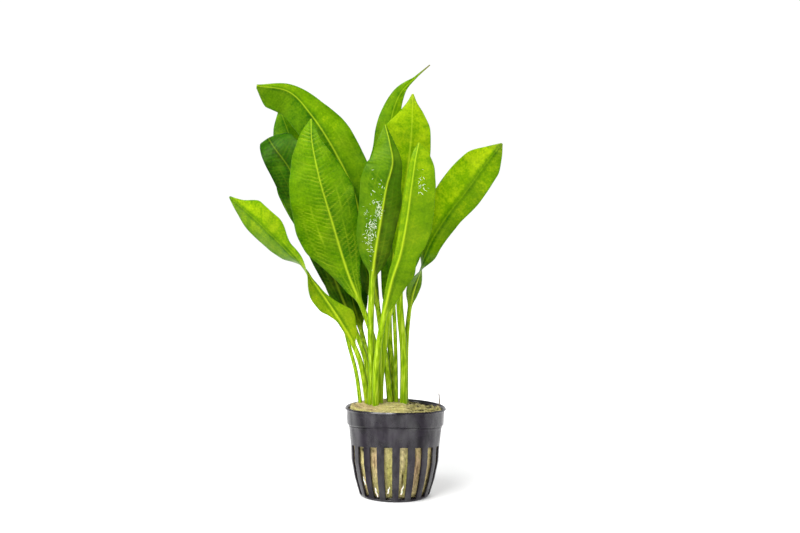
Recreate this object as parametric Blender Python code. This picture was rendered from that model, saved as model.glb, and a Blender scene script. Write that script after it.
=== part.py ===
"""Potted echinodorus: a rosette of broad leaves in a mineral wool plug, in a slotted nursery pot.

Units are metres and +Z is up. The origin is on the pot's axis, on the face that it stands on.
The front, which shows the pot's middle rib, is at -Y.
"""
import math

import bmesh
import bpy
from mathutils import Vector

MM = 0.001
SHARP_ANGLE = math.radians(40.0)
CURVE_STEPS = 12

# Pot: its outer skin from the lip down to the base, as (radius, height, arch) in mm, where the arch is
# how much higher the soft wall stands at the front and back than at the sides
POT_SKIN = [(27.0, 46.0, 0.75), (26.2, 45.5, 0.75), (25.8, 37.9, 2.2), (24.8, 37.2, 2.2),
            (23.7, 27.2, 2.0), (23.3, 19.0, 0.8), (21.5, 9.8, 0.0), (19.9, 4.4, 0.0), (18.9, 1.2, 0.0),
            (18.0, 0.0, 0.0), (15.6, 0.0, 0.0), (8.6, 0.0, 0.0)]
POT_WALL = 1.0
POT_TURN = math.radians(1.5)

# Slots: how many, their share of the way round, and the stretches of the skin that they open
SLOT_COUNT = 18
SLOT_SHARE = 0.52
SIDE_SLOT_ROWS = (4, 5, 6, 7)
BASE_SLOT_ROWS = (10,)

# Mineral wool plug: its side from the top down to its floor, as (radius, height) in mm
WOOL_SIDE = [(24.3, 44.0), (24.2, 42.4), (23.1, 39.8), (22.7, 36.0), (22.0, 28.0), (21.3, 19.0),
             (19.3, 10.0), (17.8, 4.8), (16.4, 1.4)]
WOOL_COLUMNS = 24

# The wool's upper face, in mm: a low dome with soft lumps that falls a little to the right, with a
# hollow at the back right
WOOL_TOP_EDGE = 46.9
WOOL_TOP_RADIUS = 24.0
WOOL_TOP_RINGS = (6.1, 12.3, 18.5, 22.9)
WOOL_CROWN_RISE = 2.0
WOOL_CROWN_POWER = 2.2
WOOL_TILT = 0.02
WOOL_HOLLOW_PLACE = (12.0, 12.0)
WOOL_HOLLOW_REACH = 8.0
WOOL_HOLLOW_DEPTH = 1.4
WOOL_LUMP = 0.35
WOOL_LUMP_SPANS = (11.4, 13.1)

# Holes in the wool for the leaf stalks: slack around the stalk, depth below its foot, rise above the
# wool's edge, in mm, and how coarsely the cut follows the stalk
HOLE_SLACK = 0.85
HOLE_DEPTH = 0.9
HOLE_RISE = 8.0
HOLE_STEP = 6
HOLE_SIDES = 7

# Rootstock: a flattened lump inside the wool that the leaf stalks stand on, in mm
ROOTSTOCK_CENTRE = (-6.4, 1.4, 38.0)
ROOTSTOCK_SEMI_AXES = (14.6, 11.0, 5.6)
ROOTSTOCK_TOP = 41.3
ROOTSTOCK_SEGMENTS = 20
ROOTSTOCK_BANDS = 10
POCKET_GAP = 0.47

# Leaf cross-section: places across the blade, from one margin to the other, half its thickness in mm
# inside and at the margin, how far the midrib stands out below as a share of its radius, how much it
# thins towards the tip, the share of the length over which the round stalk flattens, and how far the
# ring's points reach round the stalk
ACROSS = (-1.0, -0.5, 0.0, 0.5, 1.0)
BLADE_SKIN = 0.32
MARGIN_SKIN = 0.17
MIDRIB_SHARE = 0.8
MIDRIB_TAPER = 0.8
FLATTENING = 0.06
STALK_FAN = math.radians(72.0)

# Rings along a leaf: how many on its stalk and on its blade, and how much closer they get at the tip
STALK_STATIONS = 6
BLADE_STATIONS = 14
TIP_CROWDING = 0.15

# Width of a half blade in mm from which its margin waves at full height
WAVE_FULL_WIDTH = 8.0

# Each leaf: its midrib as points (x, y, z) in mm from the stalk's foot to the tip; the half blade
# widths in mm as (share of length, left, right); the blade's turn about its midrib in degrees, where
# 0 shows the upper face to the front; how far the two halves fold down, in degrees; the stalk's radius
# at foot and blade; and the margin's waves as (height, number, phase)
LEAVES = {
    "leaf_far_left": {
        "midrib": [(-14.0, 0.5, 42.0), (-15.0, -0.3, 50.0), (-20.2, -5.0, 74.4), (-33.2, -11.0, 97.7),
                   (-44.1, -14.0, 113.2), (-50.4, -15.0, 122.0), (-57.7, -15.5, 129.6),
                   (-72.7, -14.0, 144.0), (-88.8, -8.0, 157.3)],
        "blade": [(0.26, 1.4, 1.4), (0.32, 6.0, 1.5), (0.38, 9.0, 1.6), (0.42, 6.4, 3.8), (0.46, 3.8, 7.4),
                  (0.51, 2.0, 8.8), (0.56, 1.8, 8.0), (0.62, 6.0, 4.8), (0.70, 10.2, 4.8),
                  (0.80, 11.9, 10.2), (0.88, 9.6, 9.6), (0.95, 5.2, 3.4), (1.0, 0.5, 0.5)],
        "turn": [(0.0, 150.0), (0.30, 145.0), (0.50, 135.0), (0.60, 88.0), (0.70, 35.0), (1.0, 20.0)],
        "fold": 14.0, "stalk": (1.9, 1.3), "waves": (0.5, 2.0, 0.4)},
    "leaf_front_left": {
        "midrib": [(-9.4, 4.0, 42.0), (-10.2, 4.0, 50.0), (-10.7, 3.4, 63.3), (-11.9, 2.4, 80.1),
                   (-17.5, 1.0, 97.2), (-26.0, 0.0, 116.9), (-34.6, -1.0, 143.5), (-42.3, 0.0, 168.6),
                   (-46.8, 3.0, 188.7), (-47.7, 6.0, 201.0)],
        "blade": [(0.36, 1.5, 1.5), (0.44, 6.0, 5.0), (0.51, 12.2, 9.0), (0.58, 19.8, 12.5),
                  (0.65, 22.6, 14.5), (0.73, 21.0, 16.5), (0.81, 18.4, 13.5), (0.875, 15.0, 9.0),
                  (0.93, 9.6, 4.6), (0.97, 4.6, 2.4), (1.0, 0.5, 0.5)],
        "turn": [(0.0, 0.0), (0.5, 6.0), (1.0, 10.0)],
        "fold": 12.0, "stalk": (1.7, 1.4), "waves": (0.9, 3.0, 0.0)},
    "leaf_back_left": {
        "midrib": [(-18.2, 3.0, 42.0), (-19.3, 3.6, 50.0), (-21.7, 8.0, 64.0), (-26.2, 13.0, 79.0),
                   (-31.9, 18.0, 100.0), (-37.6, 23.0, 120.0), (-47.5, 27.0, 141.0), (-57.5, 30.0, 159.0),
                   (-64.0, 32.0, 173.0), (-66.6, 33.0, 181.5)],
        "blade": [(0.38, 1.0, 1.0), (0.46, 4.8, 5.0), (0.55, 6.6, 8.0), (0.63, 7.4, 9.0), (0.71, 7.6, 9.5),
                  (0.80, 8.4, 9.5), (0.88, 8.6, 8.0), (0.95, 5.6, 5.0), (1.0, 0.5, 0.5)],
        "turn": [(0.0, 0.0), (1.0, 0.0)],
        "fold": 10.0, "stalk": (1.1, 1.0), "waves": (0.8, 3.0, 1.0)},
    "leaf_left_curled": {
        "midrib": [(-13.8, 5.4, 42.0), (-14.4, 6.4, 50.0), (-16.4, 8.5, 69.6), (-22.7, 12.0, 86.8),
                   (-34.3, 15.0, 113.9), (-47.6, 16.0, 149.7), (-60.6, 17.0, 175.4), (-69.6, 20.0, 187.4),
                   (-73.4, 26.0, 193.0), (-72.6, 31.5, 193.4)],
        "blade": [(0.28, 1.4, 1.4), (0.35, 3.6, 4.4), (0.44, 6.6, 7.4), (0.54, 9.4, 10.6),
                  (0.65, 11.0, 12.5), (0.76, 11.6, 13.5), (0.85, 10.8, 14.0), (0.92, 8.3, 12.8),
                  (0.97, 5.2, 8.6), (1.0, 1.4, 1.4)],
        "turn": [(0.0, 0.0), (1.0, 0.0)],
        "fold": 8.0, "stalk": (1.6, 1.3), "waves": (0.8, 3.0, 2.0)},
    "leaf_back_far": {
        "midrib": [(-12.2, 9.0, 42.0), (-13.0, 10.4, 50.0), (-15.5, 15.0, 69.2), (-21.6, 22.5, 91.7),
                   (-33.8, 32.0, 125.1), (-47.6, 38.0, 159.4), (-60.8, 42.0, 190.0), (-70.0, 46.0, 213.0)],
        "blade": [(0.24, 1.4, 1.4), (0.29, 2.6, 4.8), (0.34, 4.5, 9.0), (0.38, 5.5, 11.0),
                  (0.43, 6.6, 11.4), (0.48, 7.8, 10.4), (0.53, 8.8, 9.6), (0.64, 11.0, 11.0),
                  (0.76, 13.0, 13.0), (0.86, 12.0, 12.0), (0.94, 8.0, 8.0), (1.0, 0.5, 0.5)],
        "turn": [(0.0, 0.0), (1.0, 0.0)],
        "fold": 10.0, "stalk": (1.6, 1.3), "waves": (0.8, 3.0, 3.0)},
    "leaf_arching": {
        "midrib": [(-2.8, 3.0, 42.0), (-3.1, 3.2, 50.0), (-5.2, 7.0, 68.4), (-8.5, 11.0, 87.0),
                   (-12.2, 16.0, 108.7), (-17.6, 20.0, 133.5), (-25.5, 23.0, 164.3), (-35.8, 25.0, 185.6),
                   (-49.2, 27.0, 205.9), (-62.3, 27.0, 219.3), (-80.3, 25.0, 222.3)],
        "blade": [(0.27, 1.4, 1.4), (0.33, 6.0, 2.2), (0.40, 8.0, 4.4), (0.47, 8.8, 7.0),
                  (0.55, 11.0, 11.0), (0.64, 13.0, 13.8), (0.74, 13.5, 14.2), (0.84, 13.6, 9.4),
                  (0.92, 14.2, 4.2), (0.97, 12.4, 1.8), (1.0, 1.6, 0.6)],
        "turn": [(0.0, 0.0), (0.6, 5.0), (1.0, 20.0)],
        "fold": 14.0, "stalk": (1.8, 1.4), "waves": (0.8, 3.0, 0.5)},
    "leaf_centre": {
        "midrib": [(-12.6, -3.5, 42.0), (-13.1, -4.0, 50.0), (-12.9, -7.0, 68.6), (-13.5, -10.0, 85.7),
                   (-13.1, -14.0, 110.0), (-11.6, -17.0, 127.1), (-8.7, -19.0, 145.7), (-6.0, -20.0, 162.6),
                   (-3.1, -19.0, 175.0), (-4.6, -16.0, 185.0), (-7.3, -12.0, 195.6)],
        "blade": [(0.45, 1.7, 1.7), (0.49, 3.2, 2.6), (0.53, 6.4, 6.8), (0.57, 7.8, 9.6),
                  (0.62, 8.4, 11.8), (0.67, 8.8, 12.4), (0.73, 9.4, 13.2), (0.79, 7.4, 14.2), (0.86, 5.0, 13.8),
                  (0.925, 3.0, 8.4), (0.97, 1.4, 4.0), (1.0, 0.5, 0.5)],
        "turn": [(0.0, 180.0), (1.0, 180.0)],
        "fold": -10.0, "stalk": (1.8, 1.6), "waves": (0.8, 3.0, 1.5)},
    "leaf_top_right": {
        "midrib": [(3.9, 1.0, 42.0), (4.2, 1.2, 50.0), (3.9, 3.6, 75.8), (1.4, 6.6, 103.7),
                   (1.9, 9.0, 130.8), (3.1, 9.0, 158.1), (5.8, 6.0, 183.0), (6.8, 4.0, 197.1),
                   (7.1, 4.0, 214.9)],
        "blade": [(0.45, 1.8, 1.8), (0.54, 6.0, 6.0), (0.64, 11.0, 11.0), (0.73, 14.5, 12.0),
                  (0.81, 15.4, 11.6), (0.89, 14.8, 10.4), (0.94, 8.0, 6.4), (0.975, 3.0, 2.4),
                  (1.0, 0.5, 0.5)],
        "turn": [(0.0, 0.0), (1.0, 0.0)],
        "fold": 10.0, "stalk": (2.1, 1.8), "waves": (0.8, 3.0, 2.5)},
    "leaf_top_narrow": {
        "midrib": [(0.2, 6.2, 42.0), (-0.4, 6.8, 50.0), (-3.5, 13.0, 78.7), (-4.5, 20.0, 108.7),
                   (-5.0, 26.0, 142.3), (-6.1, 30.0, 176.4), (-5.3, 31.0, 202.0), (0.2, 30.0, 219.5),
                   (8.5, 28.0, 228.3), (16.8, 26.0, 235.3)],
        "blade": [(0.26, 1.4, 1.4), (0.31, 3.8, 1.6), (0.37, 4.6, 1.8), (0.42, 4.8, 2.4), (0.50, 4.8, 4.0),
                  (0.58, 8.2, 7.0), (0.68, 11.6, 9.0), (0.74, 8.8, 8.0), (0.80, 7.8, 5.8),
                  (0.88, 4.6, 3.0), (0.92, 2.3, 1.2), (0.95, 0.7, 0.7), (1.0, 0.3, 0.3)],
        "turn": [(0.0, 0.0), (1.0, 0.0)],
        "fold": 12.0, "stalk": (1.8, 1.4), "waves": (0.6, 3.0, 0.0)},
    "leaf_front_right": {
        "midrib": [(-10.1, -7.1, 42.0), (-10.5, -7.9, 50.0), (-10.2, -10.5, 71.6), (-7.0, -14.0, 93.4),
                   (-2.3, -19.0, 115.4), (1.6, -22.0, 127.7), (4.7, -26.0, 145.0), (6.6, -29.0, 160.5),
                   (8.6, -30.0, 176.0), (10.2, -28.0, 184.4)],
        "blade": [(0.36, 1.6, 1.6), (0.42, 4.2, 2.4), (0.49, 7.8, 2.8), (0.55, 10.2, 3.2), (0.60, 9.0, 3.5),
                  (0.65, 11.8, 3.8), (0.71, 13.0, 4.0), (0.825, 12.6, 3.8), (0.91, 10.6, 3.2),
                  (0.97, 6.2, 2.0), (1.0, 0.5, 0.5)],
        "turn": [(0.0, 180.0), (0.5, 190.0), (1.0, 190.0)],
        "fold": -14.0, "stalk": (1.8, 1.6), "waves": (0.8, 3.0, 1.0)},
    "leaf_right_inner": {
        "midrib": [(-8.0, -1.8, 42.0), (-8.3, -2.0, 50.0), (-7.9, -3.0, 64.0), (-6.5, -4.0, 77.4),
                   (-4.6, -5.0, 93.4), (-1.2, -6.0, 104.1), (2.1, -7.0, 112.1), (7.6, -9.0, 131.0),
                   (10.6, -10.0, 150.0), (11.0, -10.0, 165.0), (9.0, -9.0, 175.0)],
        "blade": [(0.44, 1.5, 1.5), (0.54, 3.0, 3.0), (0.66, 5.6, 5.6), (0.78, 6.6, 6.6), (0.88, 6.0, 6.0),
                  (0.95, 3.6, 3.6), (1.0, 0.5, 0.5)],
        "turn": [(0.0, 0.0), (1.0, 0.0)],
        "fold": 12.0, "stalk": (1.7, 1.5), "waves": (0.5, 2.0, 0.0)},
    "leaf_back_inner": {
        "midrib": [(0.5, 2.6, 42.0), (0.3, 3.1, 50.0), (-0.4, 8.6, 76.9), (-1.2, 11.4, 92.0),
                   (-2.5, 13.6, 111.6), (-2.5, 15.4, 125.4), (0.0, 18.0, 144.8), (2.6, 20.0, 164.4),
                   (4.0, 22.0, 181.3)],
        "blade": [(0.48, 1.0, 1.0), (0.58, 3.4, 3.4), (0.70, 5.6, 5.6), (0.82, 6.0, 6.0), (0.92, 4.0, 4.0),
                  (1.0, 0.5, 0.5)],
        "turn": [(0.0, 0.0), (1.0, 0.0)],
        "fold": 10.0, "stalk": (1.15, 1.0), "waves": (0.4, 2.0, 0.0)},
    "leaf_far_right": {
        "midrib": [(5.2, 5.8, 42.0), (5.4, 6.4, 50.0), (5.5, 10.0, 80.7), (6.5, 12.0, 94.8),
                   (8.2, 14.0, 106.3), (13.5, 15.0, 122.8), (17.8, 15.0, 134.4), (26.9, 13.0, 149.9),
                   (37.4, 9.0, 163.9), (46.6, 5.0, 177.2), (55.1, 0.0, 188.3)],
        "blade": [(0.34, 1.3, 1.3), (0.40, 3.2, 5.6), (0.45, 4.4, 8.2), (0.50, 4.4, 6.8), (0.57, 4.6, 6.5),
                  (0.68, 13.4, 7.8), (0.80, 15.3, 9.8), (0.90, 12.6, 9.2), (0.96, 5.6, 5.0),
                  (1.0, 0.5, 0.5)],
        "turn": [(0.0, 145.0), (0.40, 140.0), (0.49, 88.0), (0.56, 30.0), (0.66, 5.0), (1.0, 0.0)],
        "fold": 12.0, "stalk": (1.5, 1.2), "waves": (0.7, 2.0, 0.5)},
}

# Root ends that lie in the slots: (slot number from the front rib, height of each end, lean), mm
# The slots to the right of the front rib count 1, 2, 3 and those to the left -1, -2, -3
# A root's middle line runs at the inset from the pot's outer skin
ROOTS = {
    "root_1": (-2, 2.6, 7.4, -1.0),
    "root_2": (-3, 8.2, 12.4, -0.8),
    "root_3": (-1, 5.0, 8.6, 1.1),
    "root_4": (1, 4.4, 9.6, 0.9),
}
ROOT_RADIUS = 0.42
ROOT_TAPER = 0.45
ROOT_INSET = 0.58
ROOT_WRIGGLE = 0.25
ROOT_POINTS = 5

# Dry stalk: a short dead stub that stands on the wool at the rim, in mm
DRY_STALK = [(23.3, 1.6, 47.2), (23.5, 1.8, 50.5), (23.1, 2.0, 54.2)]
DRY_STALK_RADII = (0.42, 0.3, 0.22)

# Each material's colour, as linear red, green and blue, and its roughness
COLOURS = {
    "pot": ((0.030, 0.028, 0.033), 0.38),
    "wool": ((0.36, 0.31, 0.12), 0.95),
    "rootstock": ((0.30, 0.22, 0.09), 0.8),
    "leaf": ((0.14, 0.38, 0.015), 0.42),
    "root": ((0.85, 0.80, 0.66), 0.6),
    "dry_stalk": ((0.06, 0.045, 0.025), 0.7),
}


def clear_scene():
    for thing in list(bpy.data.objects):
        bpy.data.objects.remove(thing, do_unlink=True)


def make_material(name):
    colour, roughness = COLOURS[name]
    material = bpy.data.materials.new(name)
    material.use_nodes = True
    shader = material.node_tree.nodes["Principled BSDF"]
    shader.inputs["Base Color"].default_value = (*colour, 1.0)
    shader.inputs["Roughness"].default_value = roughness
    shader.inputs["Metallic"].default_value = 0.0
    return material


def add_object(name, bm, material, closed=True):
    if closed:
        bmesh.ops.recalc_face_normals(bm, faces=bm.faces)
    mesh = bpy.data.meshes.new(name)
    bm.to_mesh(mesh)
    bm.free()
    mesh.materials.append(material)
    mesh.shade_smooth()
    mesh.set_sharp_from_angle(angle=SHARP_ANGLE)
    thing = bpy.data.objects.new(name, mesh)
    bpy.context.collection.objects.link(thing)
    return thing


def add_cutter(name, bm):
    bmesh.ops.recalc_face_normals(bm, faces=bm.faces)
    mesh = bpy.data.meshes.new(name)
    bm.to_mesh(mesh)
    bm.free()
    cutter = bpy.data.objects.new(name, mesh)
    cutter.hide_render = True
    cutter.display_type = "WIRE"
    bpy.context.collection.objects.link(cutter)
    return cutter


def cut(thing, cutter):
    modifier = thing.modifiers.new("cut " + cutter.name, "BOOLEAN")
    modifier.operation = "DIFFERENCE"
    modifier.solver = "EXACT"
    modifier.object = cutter


def read_between(stops, share):
    """Reads a value, or a tuple of values, from stops of (share, value, ...) with smooth steps."""
    if share <= stops[0][0]:
        return stops[0][1:]
    for near, far in zip(stops, stops[1:]):
        if share <= far[0]:
            part = (share - near[0]) / (far[0] - near[0])
            part = part * part * (3.0 - 2.0 * part)
            return tuple(a + (b - a) * part for a, b in zip(near[1:], far[1:]))
    return stops[-1][1:]


def smooth_curve(points, steps=CURVE_STEPS):
    """Points along a centripetal Catmull-Rom curve that passes through the given ones."""
    ends = [points[0] * 2.0 - points[1]] + points + [points[-1] * 2.0 - points[-2]]
    curve = []
    for a, b, c, d in zip(ends, ends[1:], ends[2:], ends[3:]):
        gap_1 = math.sqrt((b - a).length)
        gap_2 = math.sqrt((c - b).length)
        gap_3 = math.sqrt((d - c).length)
        slope_b = (b - a) / gap_1 - (c - a) / (gap_1 + gap_2) + (c - b) / gap_2
        slope_c = (c - b) / gap_2 - (d - b) / (gap_2 + gap_3) + (d - c) / gap_3
        slope_b *= gap_2
        slope_c *= gap_2
        for step in range(steps):
            part = step / steps
            square = part * part
            cube = square * part
            curve.append(b * (2 * cube - 3 * square + 1) + slope_b * (cube - 2 * square + part)
                         + c * (3 * square - 2 * cube) + slope_c * (cube - square))
    curve.append(points[-1].copy())
    return curve


def walk_curve(curve, shares):
    """Point and direction at each share of the curve's length."""
    lengths = [0.0]
    for a, b in zip(curve, curve[1:]):
        lengths.append(lengths[-1] + (b - a).length)
    found = []
    index = 0
    for share in shares:
        wanted = share * lengths[-1]
        while index < len(curve) - 2 and lengths[index + 1] < wanted:
            index += 1
        part = (wanted - lengths[index]) / (lengths[index + 1] - lengths[index])
        place = curve[index].lerp(curve[index + 1], min(part, 1.0))
        ahead = curve[min(index + 2, len(curve) - 1)]
        behind = curve[max(index - 1, 0)]
        found.append((place, (ahead - behind).normalized()))
    return found


def leaf_ring(leaf, share, place, along, side):
    """One closed ring of points around the leaf: across the underside, then back over the upper face."""
    blade_start = leaf["blade"][0][0]
    left, right = read_between(leaf["blade"], share)
    foot_radius, top_radius = leaf["stalk"]
    ripe = max((share - blade_start) / (1.0 - blade_start), 0.0)
    radius = top_radius + (foot_radius - top_radius) * max(1.0 - share / blade_start, 0.0)
    radius *= 1.0 - MIDRIB_TAPER * ripe
    flatness = min(max((share - blade_start) / FLATTENING, 0.0), 1.0)
    turn = math.radians(read_between(leaf["turn"], share)[0])
    back = along.cross(side).normalized()
    across = side * math.cos(turn) - back * math.sin(turn)
    below = side * math.sin(turn) + back * math.cos(turn)
    fold = math.radians(leaf["fold"])
    height, number, phase = leaf["waves"]
    ring = []
    for layer in (1.0, -1.0):
        for spot in ACROSS if layer > 0 else ACROSS[::-1]:
            width = left if spot < 0 else right
            swing = math.sin(2.0 * math.pi * number * ripe + phase + math.copysign(1.0, spot))
            wave = height * spot * spot * swing * min(width / WAVE_FULL_WIDTH, 1.0)
            skin = MARGIN_SKIN if abs(spot) == 1.0 else BLADE_SKIN
            if spot == 0.0 and layer > 0:
                skin = max(skin, MIDRIB_SHARE * radius)
            flat = (across * (spot * width * math.cos(fold))
                    + below * (abs(spot) * width * math.sin(fold) + wave + layer * skin))
            angle = spot * STALK_FAN
            rounded = (across * math.sin(angle) + below * (layer * math.cos(angle))) * radius
            ring.append((place + rounded.lerp(flat, flatness)) * MM)
    return ring


def leaf_shares(leaf):
    """Shares of the leaf's length at which it gets a ring: few on the stalk, more on the blade."""
    blade_start = leaf["blade"][0][0]
    stalk = [blade_start * i / STALK_STATIONS for i in range(STALK_STATIONS)]
    blade = []
    for i in range(BLADE_STATIONS + 1):
        part = i / BLADE_STATIONS
        part += TIP_CROWDING * part * (1.0 - part)
        blade.append(blade_start + (1.0 - blade_start) * part)
    return stalk + blade


def make_leaf(name, leaf, material):
    """One leaf with its stalk and blade as one closed skin, lofted ring by ring along its midrib."""
    curve = smooth_curve([Vector(point) for point in leaf["midrib"]])
    shares = leaf_shares(leaf)
    bm = bmesh.new()
    rings = []
    side = Vector((1.0, 0.0, 0.0))
    for share, (place, along) in zip(shares, walk_curve(curve, shares)):
        side = (side - along * side.dot(along)).normalized()
        rings.append([bm.verts.new(point) for point in leaf_ring(leaf, share, place, along, side)])
    for lower, upper in zip(rings, rings[1:]):
        for i in range(len(lower)):
            j = (i + 1) % len(lower)
            bm.faces.new((lower[i], lower[j], upper[j], upper[i]))
    bm.faces.new(rings[0][::-1])
    bm.faces.new(rings[-1])
    return add_object(name, bm, material)


def slot_angles():
    """Angles of the rib and slot edges around the pot, with a rib's middle at the front."""
    pitch = 2.0 * math.pi / SLOT_COUNT
    rib = pitch * (1.0 - SLOT_SHARE)
    angles = []
    for i in range(SLOT_COUNT):
        middle = -math.pi / 2 + POT_TURN + i * pitch
        angles += [middle - rib / 2, middle + rib / 2]
    return angles


def make_pot(material):
    """The pot's outer skin, with the slots left open, thickened inwards to a moulded wall."""
    bm = bmesh.new()
    angles = slot_angles()
    rows = []
    for radius, height, arch in POT_SKIN:
        ring = [(x, y, z + arch * (y / radius) ** 2) for x, y, z in circle(radius, height, angles)]
        rows.append([bm.verts.new(Vector(point) * MM) for point in ring])
    middle = bm.verts.new((0.0, 0.0, 0.0))
    count = len(angles)
    for index, (upper, lower) in enumerate(zip(rows, rows[1:])):
        slotted = index in SIDE_SLOT_ROWS or index in BASE_SLOT_ROWS
        for i in range(count):
            if slotted and i % 2 == 1:
                continue
            j = (i + 1) % count
            bm.faces.new((upper[i], lower[i], lower[j], upper[j]))
    for i in range(count):
        bm.faces.new((rows[-1][i], middle, rows[-1][(i + 1) % count]))
    pot = add_object("pot", bm, material, closed=False)
    wall = pot.modifiers.new("moulded wall", "SOLIDIFY")
    wall.thickness = POT_WALL * MM
    wall.offset = -1.0
    wall.use_even_offset = True
    return pot


def skin_radius(height):
    """The pot's outer radius at a height at its sides, read down its skin."""
    for (r_1, z_1, arch_1), (r_2, z_2, arch_2) in zip(POT_SKIN[1:], POT_SKIN[2:]):
        if z_2 <= height <= z_1:
            return r_2 + (r_1 - r_2) * (height - z_2) / (z_1 - z_2)
    return POT_SKIN[1][0]


def wool_top(x, y):
    """Height of the wool's upper face in mm at a place on it."""
    reach = min(math.hypot(x, y) / WOOL_TOP_RADIUS, 1.0)
    dome = WOOL_CROWN_RISE * (1.0 - reach ** WOOL_CROWN_POWER)
    away = math.dist((x, y), WOOL_HOLLOW_PLACE) / WOOL_HOLLOW_REACH
    hollow = WOOL_HOLLOW_DEPTH * math.exp(-away * away)
    span_x, span_y = WOOL_LUMP_SPANS
    lumps = math.sin(2.0 * math.pi * x / span_x + 0.8) * math.cos(2.0 * math.pi * y / span_y - 0.4)
    return WOOL_TOP_EDGE - WOOL_TILT * x + dome - hollow + WOOL_LUMP * lumps * (1.0 - reach ** 4)


def circle(radius, height, angles):
    return [(radius * math.cos(a), radius * math.sin(a), height) for a in angles]


def make_wool(material):
    """The plug of mineral wool: it fills the pot, domes over its rim and is rooted through."""
    bm = bmesh.new()
    angles = [2.0 * math.pi * i / WOOL_COLUMNS for i in range(WOOL_COLUMNS)]
    rings = []
    for radius in WOOL_TOP_RINGS:
        rings.append([(x, y, wool_top(x, y)) for x, y, flat in circle(radius, 0.0, angles)])
    for radius, height in WOOL_SIDE:
        rings.append(circle(radius, height, angles))
    rows = [[bm.verts.new(Vector(point) * MM) for point in ring] for ring in rings]
    crown = bm.verts.new((0.0, 0.0, wool_top(0.0, 0.0) * MM))
    floor = bm.verts.new((0.0, 0.0, WOOL_SIDE[-1][1] * MM))
    for i in range(WOOL_COLUMNS):
        j = (i + 1) % WOOL_COLUMNS
        bm.faces.new((crown, rows[0][i], rows[0][j]))
        bm.faces.new((floor, rows[-1][j], rows[-1][i]))
    for upper, lower in zip(rows, rows[1:]):
        for i in range(WOOL_COLUMNS):
            j = (i + 1) % WOOL_COLUMNS
            bm.faces.new((upper[i], lower[i], lower[j], upper[j]))
    wool = add_object("wool_plug", bm, material)
    cut(wool, rootstock_pocket())
    for name, leaf in LEAVES.items():
        cut(wool, stalk_hole(name, leaf))
    return wool


def lump(bm, grow):
    """Adds the rootstock's flattened lump to a mesh, grown by a distance in mm all round."""
    made = bmesh.ops.create_uvsphere(bm, u_segments=ROOTSTOCK_SEGMENTS, v_segments=ROOTSTOCK_BANDS,
                                     radius=1.0)
    top = ROOTSTOCK_TOP + grow
    for vert in made["verts"]:
        spot = [c + v * (a + grow) for c, v, a in zip(ROOTSTOCK_CENTRE, vert.co, ROOTSTOCK_SEMI_AXES)]
        spot[2] = min(spot[2], top)
        vert.co = Vector(spot) * MM


def rootstock_pocket():
    bm = bmesh.new()
    lump(bm, POCKET_GAP)
    return add_cutter("rootstock pocket", bm)


def make_rootstock(material):
    """The short thick rootstock that the leaf stalks grow from, hidden in the wool."""
    bm = bmesh.new()
    lump(bm, 0.0)
    return add_object("rootstock", bm, material)


def stalk_hole(name, leaf):
    """A cutter along the foot of a leaf stalk, a little wider than the stalk."""
    bm = bmesh.new()
    curve = smooth_curve([Vector(point) for point in leaf["midrib"]])
    low = curve[0] - (curve[1] - curve[0]).normalized() * HOLE_DEPTH
    above = [place for place in curve if place.z < WOOL_TOP_EDGE + HOLE_RISE]
    path = [low] + above[::HOLE_STEP] + [above[-1]]
    radius = leaf["stalk"][0] + HOLE_SLACK
    turns = [2.0 * math.pi * (i + 0.5) / HOLE_SIDES for i in range(HOLE_SIDES)]
    rings = []
    for place in path:
        rings.append([bm.verts.new((place + Vector(point)) * MM) for point in circle(radius, 0.0, turns)])
    for lower, upper in zip(rings, rings[1:]):
        for i in range(HOLE_SIDES):
            j = (i + 1) % HOLE_SIDES
            bm.faces.new((lower[i], lower[j], upper[j], upper[i]))
    bm.faces.new(rings[0][::-1])
    bm.faces.new(rings[-1])
    return add_cutter("hole for " + name, bm)


def make_tube(name, points, radii, material):
    """A thin round strand along hand-set points, as a curve with a bevel and filled ends."""
    data = bpy.data.curves.new(name, "CURVE")
    data.dimensions = "3D"
    data.bevel_depth = MM
    data.bevel_resolution = 1
    data.use_fill_caps = True
    spline = data.splines.new("POLY")
    spline.points.add(len(points) - 1)
    for spot, place, radius in zip(spline.points, points, radii):
        spot.co = (*(place * MM), 1.0)
        spot.radius = radius
    data.materials.append(material)
    strand = bpy.data.objects.new(name, data)
    bpy.context.collection.objects.link(strand)
    return strand


def make_root(name, root, material):
    """A white root end that lies on the wool inside one of the pot's slots."""
    slot, low, high, lean = root
    pitch = 2.0 * math.pi / SLOT_COUNT
    middle = -math.pi / 2 + POT_TURN + (slot - math.copysign(0.5, slot)) * pitch
    points = []
    radii = []
    for i in range(ROOT_POINTS):
        part = i / (ROOT_POINTS - 1)
        height = low + (high - low) * part
        radius = skin_radius(height) - ROOT_INSET
        drift = lean * (part - 0.5) + ROOT_WRIGGLE * math.sin(3.0 * math.pi * part)
        angle = middle + drift / radius
        points.append(Vector(circle(radius, height, [angle])[0]))
        radii.append(ROOT_RADIUS * (1.0 - ROOT_TAPER * part))
    return make_tube(name, points, radii, material)


def main():
    clear_scene()
    materials = {name: make_material(name) for name in COLOURS}
    make_pot(materials["pot"])
    make_wool(materials["wool"])
    make_rootstock(materials["rootstock"])
    for name, leaf in LEAVES.items():
        make_leaf(name, leaf, materials["leaf"])
    for name, root in ROOTS.items():
        make_root(name, root, materials["root"])
    make_tube("dry_stalk", [Vector(point) for point in DRY_STALK], DRY_STALK_RADII, materials["dry_stalk"])


main()
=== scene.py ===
# %% [markdown]
# # A potted echinodorus, dressed piece by piece
#
# A sword plant as a nursery sells it for an aquarium: thirteen leaves on upright stalks, packed in a plug
# of mineral wool, in a small black pot with slots. The frame holds its plain solids at their real size and
# place. Each cell below makes one piece or one finish and puts it where the frame says.

# %% Load the frame
import math

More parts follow.
